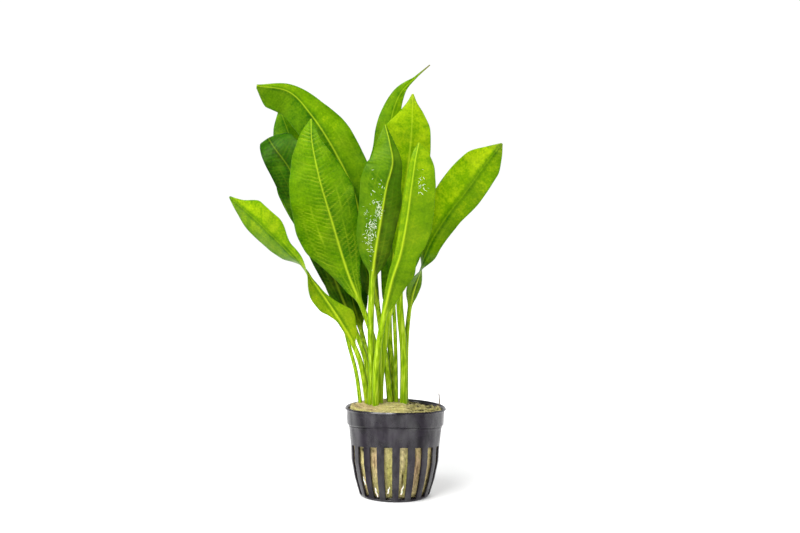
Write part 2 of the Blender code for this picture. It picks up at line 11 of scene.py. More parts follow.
import bpy
import numpy as np
from mathutils import Matrix, Vector


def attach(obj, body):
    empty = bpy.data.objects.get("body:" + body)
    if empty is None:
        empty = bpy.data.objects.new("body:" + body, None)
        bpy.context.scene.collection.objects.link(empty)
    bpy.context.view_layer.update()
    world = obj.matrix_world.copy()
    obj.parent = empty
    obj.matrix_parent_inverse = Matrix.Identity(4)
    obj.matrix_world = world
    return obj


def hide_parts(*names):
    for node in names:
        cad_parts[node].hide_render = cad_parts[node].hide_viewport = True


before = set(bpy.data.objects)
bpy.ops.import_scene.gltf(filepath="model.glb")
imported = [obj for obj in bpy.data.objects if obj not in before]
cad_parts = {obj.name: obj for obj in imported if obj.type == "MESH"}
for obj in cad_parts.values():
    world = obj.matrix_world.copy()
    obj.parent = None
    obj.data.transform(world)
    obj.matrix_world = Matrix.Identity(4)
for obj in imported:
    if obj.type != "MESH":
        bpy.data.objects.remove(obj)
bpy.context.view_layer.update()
MM = 0.001
TURN = 2.0 * math.pi


def link_object(name, data):
    """An object in the scene for a mesh, a light or a camera."""
    made = bpy.data.objects.new(name, data)
    bpy.context.scene.collection.objects.link(made)
    return made


# %% [markdown]
# ## The camera
#
# The photograph looks at the pot from half a metre away with a short telephoto view, level with the middle
# of the leaves, and it leans by less than a degree. The ellipses of the rim and the base give that height
# and distance.

# %% Set up the camera
LENS_MM = 43.0
SENSOR_MM = 36.0
CAMERA_PLACE = Vector((1.4, -511.0, 121.8)) * MM
CAMERA_LEAN = 0.0128

camera = link_object("camera", bpy.data.cameras.new("camera"))
camera.data.lens = LENS_MM
camera.data.sensor_width = SENSOR_MM
camera.matrix_world = (Matrix.Translation(CAMERA_PLACE) @ Matrix.Rotation(math.pi / 2, 4, "X")
                       @ Matrix.Rotation(CAMERA_LEAN, 4, "Z"))
bpy.context.scene.camera = camera
print("the camera stands", round(CAMERA_PLACE.length, 3), "m from the middle of the pot's foot")

# %% [markdown]
# ## Helpers for colours and nodes
#
# Colours are written as they are read off a screen, as sRGB hex, and one function turns them linear for the
# shader. One function adds a node of any kind, sets its options and fills its inputs. An input is given by
# its name or its number, as a number, a hex colour, another node's output, or a whole node, which stands for
# its first output in use. So each material below reads as a list of what feeds what.

# %% Colours and nodes
def from_hex(code):
    """An sRGB hex colour as linear red, green, blue and alpha."""
    parts = [int(code[i:i + 2], 16) / 255.0 for i in (1, 3, 5)]
    linear = [c / 12.92 if c <= 0.04045 else ((c + 0.055) / 1.055) ** 2.4 for c in parts]
    return (*linear, 1.0)


def set_inputs(tree, node, inputs):
    """Fills a node's inputs, by name or number, from numbers, hex colours, outputs and whole nodes."""
    for key, value in inputs.items():
        if isinstance(value, bpy.types.Node):
            value = next(output for output in value.outputs if output.enabled)
        if isinstance(value, bpy.types.NodeSocket):
            tree.links.new(value, node.inputs[key])
        elif isinstance(value, str) and value.startswith("#"):
            node.inputs[key].default_value = from_hex(value)
        else:
            node.inputs[key].default_value = value


def add_node(tree, kind, inputs=None, stops=(), **settings):
    """Adds one node with its options, its inputs and, on a ramp, its stops of place and colour."""
    node = tree.nodes.new(kind)
    for name, value in settings.items():
        setattr(node, name, value)
    set_inputs(tree, node, inputs or {})
    for index, (spot, code) in enumerate(stops):
        row = node.color_ramp.elements
        stop = row[index] if index < 2 else row.new(spot)
        stop.position = spot
        stop.color = from_hex(code)
    return node


def new_material(name, *facts):
    """A material, its tree and shader, and what its patterns read: the place, then the mesh's named facts."""
    material = bpy.data.materials.new(name)
    material.use_nodes = True
    tree = material.node_tree
    place = add_node(tree, "ShaderNodeTexCoord").outputs["Object"]
    read = [add_node(tree, "ShaderNodeAttribute", attribute_name=fact).outputs["Fac"] for fact in facts]
    return material, tree, tree.nodes["Principled BSDF"], place, *read


def mottled(name, size, dark, light, light_from=0.65, **more):
    """A material mottled between two colours, with spots of about this size in mm."""
    material, tree, shader, place = new_material(name)
    spots = add_node(tree, "ShaderNodeTexNoise", {"Vector": place, "Scale": 1 / (size * MM)})
    colour = add_node(tree, "ShaderNodeValToRGB", {0: spots}, [(0.35, dark), (light_from, light)])
    set_inputs(tree, shader, {"Base Color": colour, **more})
    return material


print("the helpers are ready; a mid grey reads as", round(from_hex("#808080")[0], 3))

# %% [markdown]
# ## The studio
#
# The plant stands on a plain pale floor in a white tent. The tent's wall is bright all round and its roof
# is dim, so that a large soft panel from the upper left can give the leaves their form. Two weaker panels
# lift the shadows. The floor is a pale board that glows more and more with the distance from the plant, as
# a light table does, so it runs into the wall without an edge. The standard view transform keeps the fresh
# greens as saturated as they are.

# %% The white tent
WALL_LIGHT = 1.02
ROOF_LIGHT = 0.22
WALL_TOP, ROOF_START = 0.30, 0.62

world = bpy.data.worlds.new("white tent")
world.use_nodes = True
tree = world.node_tree
sky = add_node(tree, "ShaderNodeTexCoord")
parts = add_node(tree, "ShaderNodeSeparateXYZ", {0: sky.outputs["Generated"]})
height = add_node(tree, "ShaderNodeMath", {0: parts.outputs[2]}, operation="ABSOLUTE")
brightness = add_node(tree, "ShaderNodeMapRange", {
    0: height, 1: WALL_TOP, 2: ROOF_START, 3: WALL_LIGHT, 4: ROOF_LIGHT},
    interpolation_type="SMOOTHSTEP")
set_inputs(tree, tree.nodes["Background"], {"Strength": brightness, "Color": "#FFFFFF"})
bpy.context.scene.world = world
bpy.context.scene.view_settings.view_transform = "Standard"
print("the tent's wall is", round(WALL_LIGHT / ROOF_LIGHT, 1), "times as bright as its roof")

# %% Floor and panels
FLOOR_SIZE = 6.0
PANELS = {
    "key panel": ((-0.50, -0.60, 1.10), 0.9, 31.0),
    "fill panel": ((0.80, -0.55, 0.45), 0.6, 2.0),
    "back panel": ((0.25, 0.80, 0.90), 0.7, 8.0),
}
LIGHT_AIM = Vector((0.0, 0.0, 0.12))
GLOW_DISTANCES = (0.12, 0.9)
GLOW_STRENGTHS = (0.2, 1.0)

for panel_name, (place, size, power) in PANELS.items():
    light = bpy.data.lights.new(panel_name, "AREA")
    light.size = size
    light.energy = power
    panel = link_object(panel_name, light)
    panel.location = place
    panel.rotation_euler = (LIGHT_AIM - Vector(place)).to_track_quat("-Z", "Y").to_euler()

# Matt painted board: no gloss, with a faint unevenness, 3 spots a metre, that keeps it from looking drawn
paint, tree, shader, place = new_material("matt white painted board")
uneven = add_node(tree, "ShaderNodeTexNoise", {"Vector": place, "Scale": 3.0})
board = add_node(tree, "ShaderNodeMix", {0: uneven, 6: "#CFCFCF", 7: "#D4D4D4"}, data_type="RGBA")
away = add_node(tree, "ShaderNodeVectorMath", {0: place}, operation="LENGTH")
glow = add_node(tree, "ShaderNodeMapRange", dict(enumerate((away, *GLOW_DISTANCES, *GLOW_STRENGTHS))))
set_inputs(tree, shader, {
    "Base Color": board, "Roughness": 0.9, "Emission Color": "#FFFFFF", "Emission Strength": glow})

half = FLOOR_SIZE / 2
floor_mesh = bpy.data.meshes.new("floor")
floor_corners = [(-half, -half, 0), (half, -half, 0), (half, half, 0), (-half, half, 0)]
floor_mesh.from_pydata(floor_corners, [], [(0, 1, 2, 3)])
floor_mesh.materials.append(paint)
floor = link_object("floor", floor_mesh)
print("the floor is", FLOOR_SIZE, "m wide, under", len(PANELS), "panels")

# %% [markdown]
# ## How a finished piece joins the part
#
# Every piece is one mesh whose object sits at the origin. It stands for one or more plain solids of the frame
# and rides on the part's only body.

# %% Mesh and Geometry Nodes helpers
def ring_faces(rings, size, inward=False):
    """Faces that join rings of points to a closed skin, with one more point before them and one after."""
    start = np.arange(rings - 1)[:, None] * size
    here = np.arange(size)[None, :]
    there = (here + 1) % size
    corners = [start + here, start + there, start + there + size, start + here + size]
    order = (0, 3, 2, 1) if inward else (0, 1, 2, 3)
    faces = np.stack([corners[k] for k in order], axis=2).reshape(-1, 4).tolist()
    first, last, final = rings * size, rings * size + 1, (rings - 1) * size
    for a in range(size):
        b = (a + 1) % size
        caps = [(b, a, first), (final + a, final + b, last)]
        faces += [cap[::-1] for cap in caps] if inward else caps
    return faces


def make_piece(name, points, faces, material, facts=None):
    """A smooth closed mesh with its faces turned outwards, and one number a point for each named fact."""
    points = np.asarray(points, float)
    mesh = bpy.data.meshes.new(name)
    mesh.from_pydata((points * MM).tolist(), [], faces)
    corners = np.array([face[:3] for face in faces])
    a, b, c = (points[corners[:, i]] for i in range(3))
    if np.einsum("ij,ij->i", a, np.cross(b, c)).sum() < 0.0:
        mesh.flip_normals()
    mesh.shade_smooth()
    for fact, values in (facts or {}).items():
        set_fact(mesh, fact, values)
    mesh.materials.append(material)
    return link_object(name, mesh)


def set_fact(mesh, fact, values):
    """Writes one number for each point of a mesh."""
    layer = mesh.attributes.new(fact, "FLOAT", "POINT")
    layer.data.foreach_set("value", np.asarray(values, np.float32).ravel())


def read_points(mesh):
    """A mesh's points as rows of x, y and z."""
    flat = np.empty(len(mesh.vertices) * 3)
    mesh.vertices.foreach_get("co", flat)
    return flat.reshape(-1, 3)


def join_part(piece, slot, *nodes):
    """Puts a finished piece in the part: hides the solids it stands for and sets the piece on the part's body;
    the slot is not used.
    """
    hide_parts(*nodes)
    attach(piece, "root")
    print(piece.name, "has", len(piece.data.polygons), "faces and stands for", ", ".join(nodes))


def new_tree(name, **sockets):
    """A Geometry Nodes tree with a geometry input and output, and the named inputs."""
    made = bpy.data.node_groups.new(name, "GeometryNodeTree")
    made.interface.new_socket("Geometry", in_out="INPUT", socket_type="NodeSocketGeometry")
    made.interface.new_socket("Geometry", in_out="OUTPUT", socket_type="NodeSocketGeometry")
    for label, kind in sockets.items():
        made.interface.new_socket(label, in_out="INPUT", socket_type="NodeSocket" + kind)
    return made, add_node(made, "NodeGroupInput").outputs, add_node(made, "NodeGroupOutput")


def end_tree(made, given, result, copies):
    """Makes a tree's copies real, gives them the material and sends them out."""
    real = add_node(made, "GeometryNodeRealizeInstances", {"Geometry": copies})
    if "Weld" in given:
        real = add_node(made, "GeometryNodeMergeByDistance", {"Geometry": real, "Distance": given["Weld"]})
    painted = add_node(made, "GeometryNodeSetMaterial", {"Geometry": real, "Material": given["Material"]})
    set_inputs(made, result, {0: painted})


def run_tree(made, source, name, values):
    """Runs a tree on a mesh object with the given inputs, and returns the result as a plain mesh object."""
    modifier = source.modifiers.new("grow", "NODES")
    modifier.node_group = made
    for item in made.interface.items_tree:
        if item.in_out == "INPUT" and item.name in values:
            modifier[item.identifier] = values[item.name]
    graph = bpy.context.evaluated_depsgraph_get()
    mesh = bpy.data.meshes.new_from_object(source.evaluated_get(graph), preserve_all_data_layers=True,
                                           depsgraph=graph)
    source.modifiers.remove(modifier)
    mesh.name = name
    return link_object(name, mesh)


# %% [markdown]
# ## The leaf's skin
#
# A leaf is soft green tissue under a thin waxy skin. The wax gives a wide soft gloss, the tissue lets some
# light through, and the veins hold less green, so they show as pale lines. The underside is duller and
# greyer. The material reads these from numbers that each leaf's mesh carries: how bright its green is,
# where its veins run, which side a point is on, how near the stalk it is and where it has dried.

# %% Leaf material
UNDER_SHARE = 0.15
PAINTED_SHEEN_SHARE = 0.3

leaf_skin, tree, shader, place, tone, vein, under, stalk, dry = new_material(
    "living leaf, waxy skin over green tissue", "tone", "vein", "under", "stalk", "dry")
# Soft patches of richer and paler green, about 7 mm across, and grains of about 1 mm
patches = add_node(tree, "ShaderNodeTexNoise", {
    "Vector": place, "Scale": 1 / (7 * MM), "Detail": 3.0, "Roughness": 0.6})
grains = add_node(tree, "ShaderNodeTexNoise", {"Vector": place, "Scale": 1 / (1.1 * MM)})
for spots, shift in ((patches, 0.09), (grains, 0.08)):
    shifted = add_node(tree, "ShaderNodeMapRange", {0: spots, 1: 0.3, 2: 0.7, 3: -shift, 4: shift})
    tone = add_node(tree, "ShaderNodeMath", {0: tone, 1: shifted}, operation="ADD")
colour = add_node(tree, "ShaderNodeValToRGB", {0: tone}, [
    (0.0, "#062600"), (1.0, "#93AA08"), (0.35, "#275600"), (0.7, "#587F00")])
# Painted greyish sheen in wide soft patches, and the underside is duller all over
sheen_patches = add_node(tree, "ShaderNodeTexNoise", {"Vector": place, "Scale": 1 / (14 * MM)})
painted_sheen = add_node(tree, "ShaderNodeMapRange", {0: sheen_patches, 1: 0.5, 2: 0.72, 3: 0.0, 4: PAINTED_SHEEN_SHARE})
duller = add_node(tree, "ShaderNodeMath", {0: under, 1: UNDER_SHARE}, operation="MULTIPLY")
# A stalk's fibres run up it as fine paler and darker streaks
upward = add_node(tree, "ShaderNodeMapping", {"Vector": place, "Scale": (1.0, 1.0, 0.015)})
fibres = add_node(tree, "ShaderNodeTexNoise", {"Vector": upward, "Scale": 1 / (0.9 * MM)})
streaked = add_node(tree, "ShaderNodeValToRGB", {0: fibres}, [
    (0.30, "#54790A"), (0.70, "#ACC43A"), (0.50, "#80A00A")])
for share, over in ((painted_sheen, "#5E7410"), (duller, "#6A8216"), (stalk, streaked), (vein, "#A9BE22"),
                    (dry, "#6E6632")):
    colour = add_node(tree, "ShaderNodeMix", {0: share, 6: colour, 7: over}, data_type="RGBA")
gloss = add_node(tree, "ShaderNodeMapRange", {0: patches, 1: 0.3, 2: 0.7, 3: 0.34, 4: 0.46})
# The skin's cells are far below a millimetre; grains of 0.5 mm are the finest that show at this distance
cells = add_node(tree, "ShaderNodeTexNoise", {"Vector": place, "Scale": 1 / (0.5 * MM)})
relief = add_node(tree, "ShaderNodeBump", {"Strength": 0.25, "Distance": 0.05 * MM, "Height": cells})
# The tint is the green below, which shows through the gloss and warms it
set_inputs(tree, shader, {
    "Base Color": colour, "Roughness": gloss, "Normal": relief, "IOR": 1.42, "Specular IOR Level": 0.10,
    "Specular Tint": "#E6F0A0", "Subsurface Weight": 0.15, "Subsurface Radius": (0.6, 1.0, 0.15),
    "Subsurface Scale": 0.8 * MM})
print("the leaf's material has", len(tree.nodes), "nodes")

# %% [markdown]
# ## Thirteen leaves
#
# Each leaf is one skin that starts as a round stalk and opens into a blade. It is lofted ring by ring along
# its midrib: points across the upper face, then back under it. The same numbers shaped the solids of the
# frame, and here they are read much more finely, so that there is room for veins, quilting between them and
# a ruffled margin.
#
# The midrib is a list of points from the stalk's foot to the tip, in mm. The blade's stops give the half
# widths to its left and right at shares of the midrib's length. The turn is 0 where the upper face looks to
# the front.
#
# The rows after the waves are for looks alone. Tones say how bright the left and right halves are: the leaf's
# own green with painted shade on halves and leaves that lie in shade. Foot is how much brighter the blade
# starts; below zero it is partly the blade's own darker base and partly painted shade deep in the plant. Rib
# dims the midrib's light on the upper face. Quilt is the swelling between cross veins, in mm. Veins are the
# strengths of the long veins, of the cross veins with painted shade beside them and of the painted shade in
# the groove by the midrib. Dry is how withered the tip is. Flecks are patches of dried lime: share of the
# length, place across, size along, size across and strength.

# %% The leaves' own numbers
LEAVES = {
    "leaf_far_left": {
        "midrib": [
            (-14, 0.5, 42), (-15, -0.3, 50), (-20.2, -5, 74.4), (-33.2, -11, 97.7), (-44.1, -14, 113.2),
            (-50.4, -15, 122), (-57.7, -15.5, 129.6), (-72.7, -14, 144), (-88.8, -8, 157.3)],
        "blade": [
            (0.26, 1.4, 1.4), (0.32, 6, 1.5), (0.38, 9, 1.6), (0.42, 6.4, 3.8), (0.46, 3.8, 7.4),
            (0.51, 2, 8.8), (0.56, 1.8, 8), (0.62, 6, 4.8), (0.7, 10.2, 4.8), (0.8, 11.9, 10.2),
            (0.88, 9.6, 9.6), (0.95, 5.2, 3.4), (1, 0.5, 0.5)],
        "turn": [(0, 150), (0.3, 145), (0.5, 135), (0.6, 88), (0.7, 35), (1, 20)],
        "fold": 14, "stalk": (1.9, 1.3), "waves": (0.5, 2, 0.4),
        "foot": 0.4, "tones": (0.62, 0.72), "rib": 0.15, "quilt": 0.06, "veins": (0.2, 0.1, 0.22)},
    "leaf_front_left": {
        "midrib": [
            (-9.4, 4, 42), (-10.2, 4, 50), (-10.7, 3.4, 63.3), (-11.9, 2.4, 80.1), (-17.5, 1, 97.2),
            (-26, 0, 116.9), (-34.6, -1, 143.5), (-42.3, 0, 168.6), (-46.8, 3, 188.7), (-47.7, 6, 201)],
        "blade": [
            (0.36, 1.5, 1.5), (0.44, 6, 5), (0.51, 12.2, 9), (0.58, 19.8, 12.5), (0.65, 22.6, 14.5),
            (0.73, 21, 16.5), (0.81, 18.4, 13.5), (0.875, 15, 9), (0.93, 9.6, 4.6), (0.97, 4.6, 2.4),
            (1, 0.5, 0.5)],
        "turn": [(0, 0), (0.5, 6), (1, 10)],
        "fold": 12, "stalk": (1.7, 1.4), "waves": (0.9, 3, 0),
        "foot": 0.08, "tones": (0.58, 0.5), "quilt": 0.26, "veins": (0.6, 0.5, 0.1)},
    "leaf_back_left": {
        "midrib": [
            (-18.2, 3, 42), (-19.3, 3.6, 50), (-21.7, 8, 64), (-26.2, 13, 79), (-31.9, 18, 100),
            (-37.6, 23, 120), (-47.5, 27, 141), (-57.5, 30, 159), (-64, 32, 173), (-66.6, 33, 181.5)],
        "blade": [
            (0.38, 1, 1), (0.46, 4.8, 5), (0.55, 6.6, 8), (0.63, 7.4, 9), (0.71, 7.6, 9.5), (0.8, 8.4, 9.5),
            (0.88, 8.6, 8), (0.95, 5.6, 5), (1, 0.5, 0.5)],
        "fold": 10, "stalk": (1.1, 1), "waves": (0.8, 3, 1),
        "foot": -0.15, "tones": (0.42, 0.52), "quilt": 0.12, "veins": (0.15, 0.1, 0.08)},
    "leaf_left_curled": {
        "midrib": [
            (-13.8, 5.4, 42), (-14.4, 6.4, 50), (-16.4, 8.5, 69.6), (-22.7, 12, 86.8), (-34.3, 15, 113.9),
            (-47.6, 16, 149.7), (-60.6, 17, 175.4), (-69.6, 20, 187.4), (-73.4, 26, 193), (-72.6, 31.5, 193.4)],
        "blade": [
            (0.28, 1.4, 1.4), (0.35, 3.6, 4.4), (0.44, 6.6, 7.4), (0.54, 9.4, 10.6), (0.65, 11, 12.5),
            (0.76, 11.6, 13.5), (0.85, 10.8, 14), (0.92, 8.3, 12.8), (0.97, 5.2, 8.6), (1, 1.4, 1.4)],
        "fold": 8, "stalk": (1.6, 1.3), "waves": (0.8, 3, 2),
        "tones": (0.18, 0.24), "rib": 0.35, "quilt": 0.16, "veins": (0.15, 0.1, 0.1)},
    "leaf_back_far": {
        "midrib": [
            (-12.2, 9, 42), (-13, 10.4, 50), (-15.5, 15, 69.2), (-21.6, 22.5, 91.7), (-33.8, 32, 125.1),
            (-47.6, 38, 159.4), (-60.8, 42, 190), (-70, 46, 213)],
        "blade": [
            (0.24, 1.4, 1.4), (0.29, 2.6, 4.8), (0.34, 4.5, 9), (0.38, 5.5, 11), (0.43, 6.6, 11.4),
            (0.48, 7.8, 10.4), (0.53, 8.8, 9.6), (0.64, 11, 11), (0.76, 13, 13), (0.86, 12, 12), (0.94, 8, 8),
            (1, 0.5, 0.5)],
        "fold": 10, "stalk": (1.6, 1.3), "waves": (0.8, 3, 3),
        "foot": -0.2, "tones": (0.44, 0.48), "rib": 0.4, "quilt": 0.12, "veins": (0.12, 0.08, 0.08)},
    "leaf_arching": {
        "midrib": [
            (-2.8, 3, 42), (-3.1, 3.2, 50), (-5.2, 7, 68.4), (-8.5, 11, 87), (-12.2, 16, 108.7),
            (-17.6, 20, 133.5), (-25.5, 23, 164.3), (-35.8, 25, 185.6), (-49.2, 27, 205.9), (-62.3, 27, 219.3),
            (-80.3, 25, 222.3)],
        "blade": [
            (0.27, 1.4, 1.4), (0.33, 6, 2.2), (0.4, 8, 4.4), (0.47, 8.8, 7), (0.55, 11, 11), (0.64, 13, 13.8),
            (0.74, 13.5, 14.2), (0.84, 13.6, 9.4), (0.92, 14.2, 4.2), (0.97, 12.4, 1.8), (1, 1.6, 0.6)],
        "turn": [(0, 0), (0.6, 5), (1, 20)],
        "fold": 14, "stalk": (1.8, 1.4), "waves": (0.8, 3, 0.5),
        "foot": -0.3, "tones": (0.5, 0.64), "quilt": 0.08, "veins": (0.25, 0.14, 0.16)},
    "leaf_centre": {
        "midrib": [
            (-12.6, -3.5, 42), (-13.1, -4, 50), (-12.9, -7, 68.6), (-13.5, -10, 85.7), (-13.1, -14, 110),
            (-11.6, -17, 127.1), (-8.7, -19, 145.7), (-6, -20, 162.6), (-3.1, -19, 175), (-4.6, -16, 185),
            (-7.3, -12, 195.6)],
        "blade": [
            (0.45, 1.7, 1.7), (0.49, 3.2, 2.6), (0.53, 6.4, 6.8), (0.57, 7.8, 9.6), (0.62, 8.4, 11.8),
            (0.67, 8.8, 12.4), (0.73, 9.4, 13.2), (0.79, 7.4, 14.2), (0.86, 5, 13.8), (0.925, 3, 8.4),
            (0.97, 1.4, 4), (1, 0.5, 0.5)],
        "turn": [(0, 180), (1, 180)],
        "fold": -10, "stalk": (1.8, 1.6), "waves": (0.8, 3, 1.5),
        "tones": (0.27, 0.44), "quilt": 0.08, "veins": (0.18, 0.12, 0.1),
        "flecks": ((0.7, 0.16, 0.03, 0.1, 1), (0.685, 0.62, 0.015, 0.1, 0.6), (0.655, 0.3, 0.02, 0.16, 0.8),
                   (0.61, 0.45, 0.03, 0.2, 0.5), (0.58, 0.25, 0.04, 0.12, 0.4), (0.75, 0.4, 0.04, 0.3, 0.08))},
    "leaf_top_right": {
        "midrib": [
            (3.9, 1, 42), (4.2, 1.2, 50), (3.9, 3.6, 75.8), (1.4, 6.6, 103.7), (1.9, 9, 130.8), (3.1, 9, 158.1),
            (5.8, 6, 183), (6.8, 4, 197.1), (7.1, 4, 214.9)],
        "blade": [
            (0.45, 1.8, 1.8), (0.54, 6, 6), (0.64, 11, 11), (0.73, 14.5, 12), (0.81, 15.4, 11.6),
            (0.89, 14.8, 10.4), (0.94, 8, 6.4), (0.975, 3, 2.4), (1, 0.5, 0.5)],
        "fold": 10, "stalk": (2.1, 1.8), "waves": (0.8, 3, 2.5),
        "tones": (0.77, 0.78), "rib": 0.7, "quilt": 0.07, "veins": (0.15, 0.2, 0.06), "dry": 0.25},
    "leaf_top_narrow": {
        "midrib": [
            (0.2, 6.2, 42), (-0.4, 6.8, 50), (-3.5, 13, 78.7), (-4.5, 20, 108.7), (-5, 26, 142.3),
            (-6.1, 30, 176.4), (-5.3, 31, 202), (0.2, 30, 219.5), (8.5, 28, 228.3), (16.8, 26, 235.3)],
        "blade": [
            (0.26, 1.4, 1.4), (0.31, 3.8, 1.6), (0.37, 4.6, 1.8), (0.42, 4.8, 2.4), (0.5, 4.8, 4),
            (0.58, 8.2, 7), (0.68, 11.6, 9), (0.74, 8.8, 8), (0.8, 7.8, 5.8), (0.88, 4.6, 3), (0.92, 2.3, 1.2),
            (0.95, 0.7, 0.7), (1, 0.3, 0.3)],
        "fold": 12, "stalk": (1.8, 1.4), "waves": (0.6, 3, 0),
        "foot": -0.12, "tones": (0.58, 0.7), "rib": 0.5, "quilt": 0.07, "veins": (0.12, 0.08, 0.12), "dry": 1},
    "leaf_front_right": {
        "midrib": [
            (-10.1, -7.1, 42), (-10.5, -7.9, 50), (-10.2, -10.5, 71.6), (-7, -14, 93.4), (-2.3, -19, 115.4),
            (1.6, -22, 127.7), (4.7, -26, 145), (6.6, -29, 160.5), (8.6, -30, 176), (10.2, -28, 184.4)],
        "blade": [
            (0.36, 1.6, 1.6), (0.42, 4.2, 2.4), (0.49, 7.8, 2.8), (0.55, 10.2, 3.2), (0.6, 9, 3.5),
            (0.65, 11.8, 3.8), (0.71, 13, 4), (0.825, 12.6, 3.8), (0.91, 10.6, 3.2), (0.97, 6.2, 2),
            (1, 0.5, 0.5)],
        "turn": [(0, 180), (0.5, 190), (1, 190)],
        "fold": -14, "stalk": (1.8, 1.6), "waves": (0.8, 3, 1),
        "tones": (0.68, 0.76), "quilt": 0.07, "veins": (0.18, 0.1, 0.1),
        "flecks": ((0.87, -0.3, 0.03, 0.12, 0.3), (0.84, -0.5, 0.02, 0.15, 0.2))},
    "leaf_right_inner": {
        "midrib": [
            (-8, -1.8, 42), (-8.3, -2, 50), (-7.9, -3, 64), (-6.5, -4, 77.4), (-4.6, -5, 93.4),
            (-1.2, -6, 104.1), (2.1, -7, 112.1), (7.6, -9, 131), (10.6, -10, 150), (11, -10, 165),
            (9, -9, 175)],
        "blade": [
            (0.44, 1.5, 1.5), (0.54, 3, 3), (0.66, 5.6, 5.6), (0.78, 6.6, 6.6), (0.88, 6, 6), (0.95, 3.6, 3.6),
            (1, 0.5, 0.5)],
        "fold": 12, "stalk": (1.7, 1.5), "waves": (0.5, 2, 0),
        "tones": (0.55, 0.6), "quilt": 0.06, "veins": (0.12, 0.06, 0.08)},
    "leaf_back_inner": {
        "midrib": [
            (0.5, 2.6, 42), (0.3, 3.1, 50), (-0.4, 8.6, 76.9), (-1.2, 11.4, 92), (-2.5, 13.6, 111.6),
            (-2.5, 15.4, 125.4), (0, 18, 144.8), (2.6, 20, 164.4), (4, 22, 181.3)],
        "blade": [(0.48, 1, 1), (0.58, 3.4, 3.4), (0.7, 5.6, 5.6), (0.82, 6, 6), (0.92, 4, 4), (1, 0.5, 0.5)],
        "fold": 10, "stalk": (1.15, 1), "waves": (0.4, 2, 0),
        "tones": (0.4, 0.46), "quilt": 0.06, "veins": (0.12, 0.06, 0.08)},
    "leaf_far_right": {
        "midrib": [
            (5.2, 5.8, 42), (5.4, 6.4, 50), (5.5, 10, 80.7), (6.5, 12, 94.8), (8.2, 14, 106.3),
            (13.5, 15, 122.8), (17.8, 15, 134.4), (26.9, 13, 149.9), (37.4, 9, 163.9), (46.6, 5, 177.2),
            (55.1, 0, 188.3)],
        "blade": [
            (0.34, 1.3, 1.3), (0.4, 3.2, 5.6), (0.45, 4.4, 8.2), (0.5, 4.4, 6.8), (0.57, 4.6, 6.5),
            (0.68, 13.4, 7.8), (0.8, 15.3, 9.8), (0.9, 12.6, 9.2), (0.96, 5.6, 5), (1, 0.5, 0.5)],
        "turn": [(0, 145), (0.4, 140), (0.49, 88), (0.56, 30), (0.66, 5), (1, 0)],
        "fold": 12, "stalk": (1.5, 1.2), "waves": (0.7, 2, 0.5),
        "foot": -0.22, "tones": (0.82, 0.7), "rib": 0.15, "quilt": 0.1, "veins": (0.2, 0.14, 0.26), "dry": 0.3},
}
# What a leaf has where its own rows say nothing
LEAF_PLAIN = {"turn": [(0, 0), (1, 0)], "foot": 0, "rib": 1, "dry": 0, "flecks": ()}
print(len(LEAVES), "leaves, the tallest to", max(leaf["midrib"][-1][2] for leaf in LEAVES.values()), "mm")

# %% [markdown]
# ## Curves and stops
#
# Two small readers turn those lists into smooth shapes. One walks a curve through the midrib's points at
# even steps of its length. The other reads the stops with a cubic that never overshoots, so a margin has no
# steps.

# %% Read a curve and a list of stops
CURVE_STEPS = 40


def clamp(value):
    """The value held between 0 and 1."""
    return np.clip(value, 0.0, 1.0)


def bell(distance, width):
    """1 where there is no distance, falling softly to nothing over about twice the width."""
    return np.exp(-(distance / width) ** 2)


def cubic(start, start_slope, end, end_slope, part):
    """Part of the way along a cubic with these ends and end slopes."""
    return (start * (2 * part ** 3 - 3 * part ** 2 + 1) + start_slope * (part ** 3 - 2 * part ** 2 + part)
            + end * (3 * part ** 2 - 2 * part ** 3) + end_slope * (part ** 3 - part ** 2))


def smooth_line(points):
    """A centripetal curve through the points, as many close points."""
    given = [np.array(p, float) for p in points]
    given = [given[0] * 2 - given[1]] + given + [given[-1] * 2 - given[-2]]
    part = (np.arange(CURVE_STEPS) / CURVE_STEPS)[:, None]
    runs = []
    for a, b, c, d in zip(given, given[1:], given[2:], given[3:]):
        gap_1, gap_2, gap_3 = (math.sqrt(np.linalg.norm(q - p)) for p, q in ((a, b), (b, c), (c, d)))
        slope_b = ((b - a) / gap_1 - (c - a) / (gap_1 + gap_2) + (c - b) / gap_2) * gap_2
        slope_c = ((c - b) / gap_2 - (d - b) / (gap_2 + gap_3) + (d - c) / gap_3) * gap_2
        runs.append(cubic(b, slope_b, c, slope_c, part))
    return np.vstack(runs + [given[-2][None, :]])


def walk_line(line, shares):
    """Points and directions at shares of the line's length, with the length itself."""
    run = np.concatenate([[0.0], np.cumsum(np.linalg.norm(np.diff(line, axis=0), axis=1))])
    places = np.stack([np.interp(shares * run[-1], run, line[:, i]) for i in range(3)], axis=1)
    along = np.gradient(places, axis=0)
    return places, along / np.linalg.norm(along, axis=1)[:, None], run[-1]


def read_stops(stops, shares):
    """Each column of the stops at many shares, by a cubic that keeps between its neighbours."""
    stops = np.array(stops, float)
    x, y = stops[:, 0], stops[:, 1:]
    slope = np.diff(y, axis=0) / np.diff(x)[:, None]
    same = slope[1:] * slope[:-1] > 0
    tangent = np.vstack([slope[:1], np.zeros_like(slope[1:]), slope[-1:]])
    harmonic = 2 * slope[1:] * slope[:-1] / np.where(same, slope[1:] + slope[:-1], 1.0)
    tangent[1:-1] = np.where(same, harmonic, 0.0)
    index = np.clip(np.searchsorted(x, shares, side="right") - 1, 0, len(x) - 2)
    gap = (x[index + 1] - x[index])[:, None]
    part = clamp((shares[:, None] - x[index][:, None]) / gap)
    return cubic(y[index], tangent[index] * gap, y[index + 1], tangent[index + 1] * gap, part)


lengths = [walk_line(smooth_line(leaf["midrib"]), np.array([0.0, 1.0]))[2] for leaf in LEAVES.values()]
print("the midribs are", round(min(lengths)), "to", round(max(lengths)), "mm long")

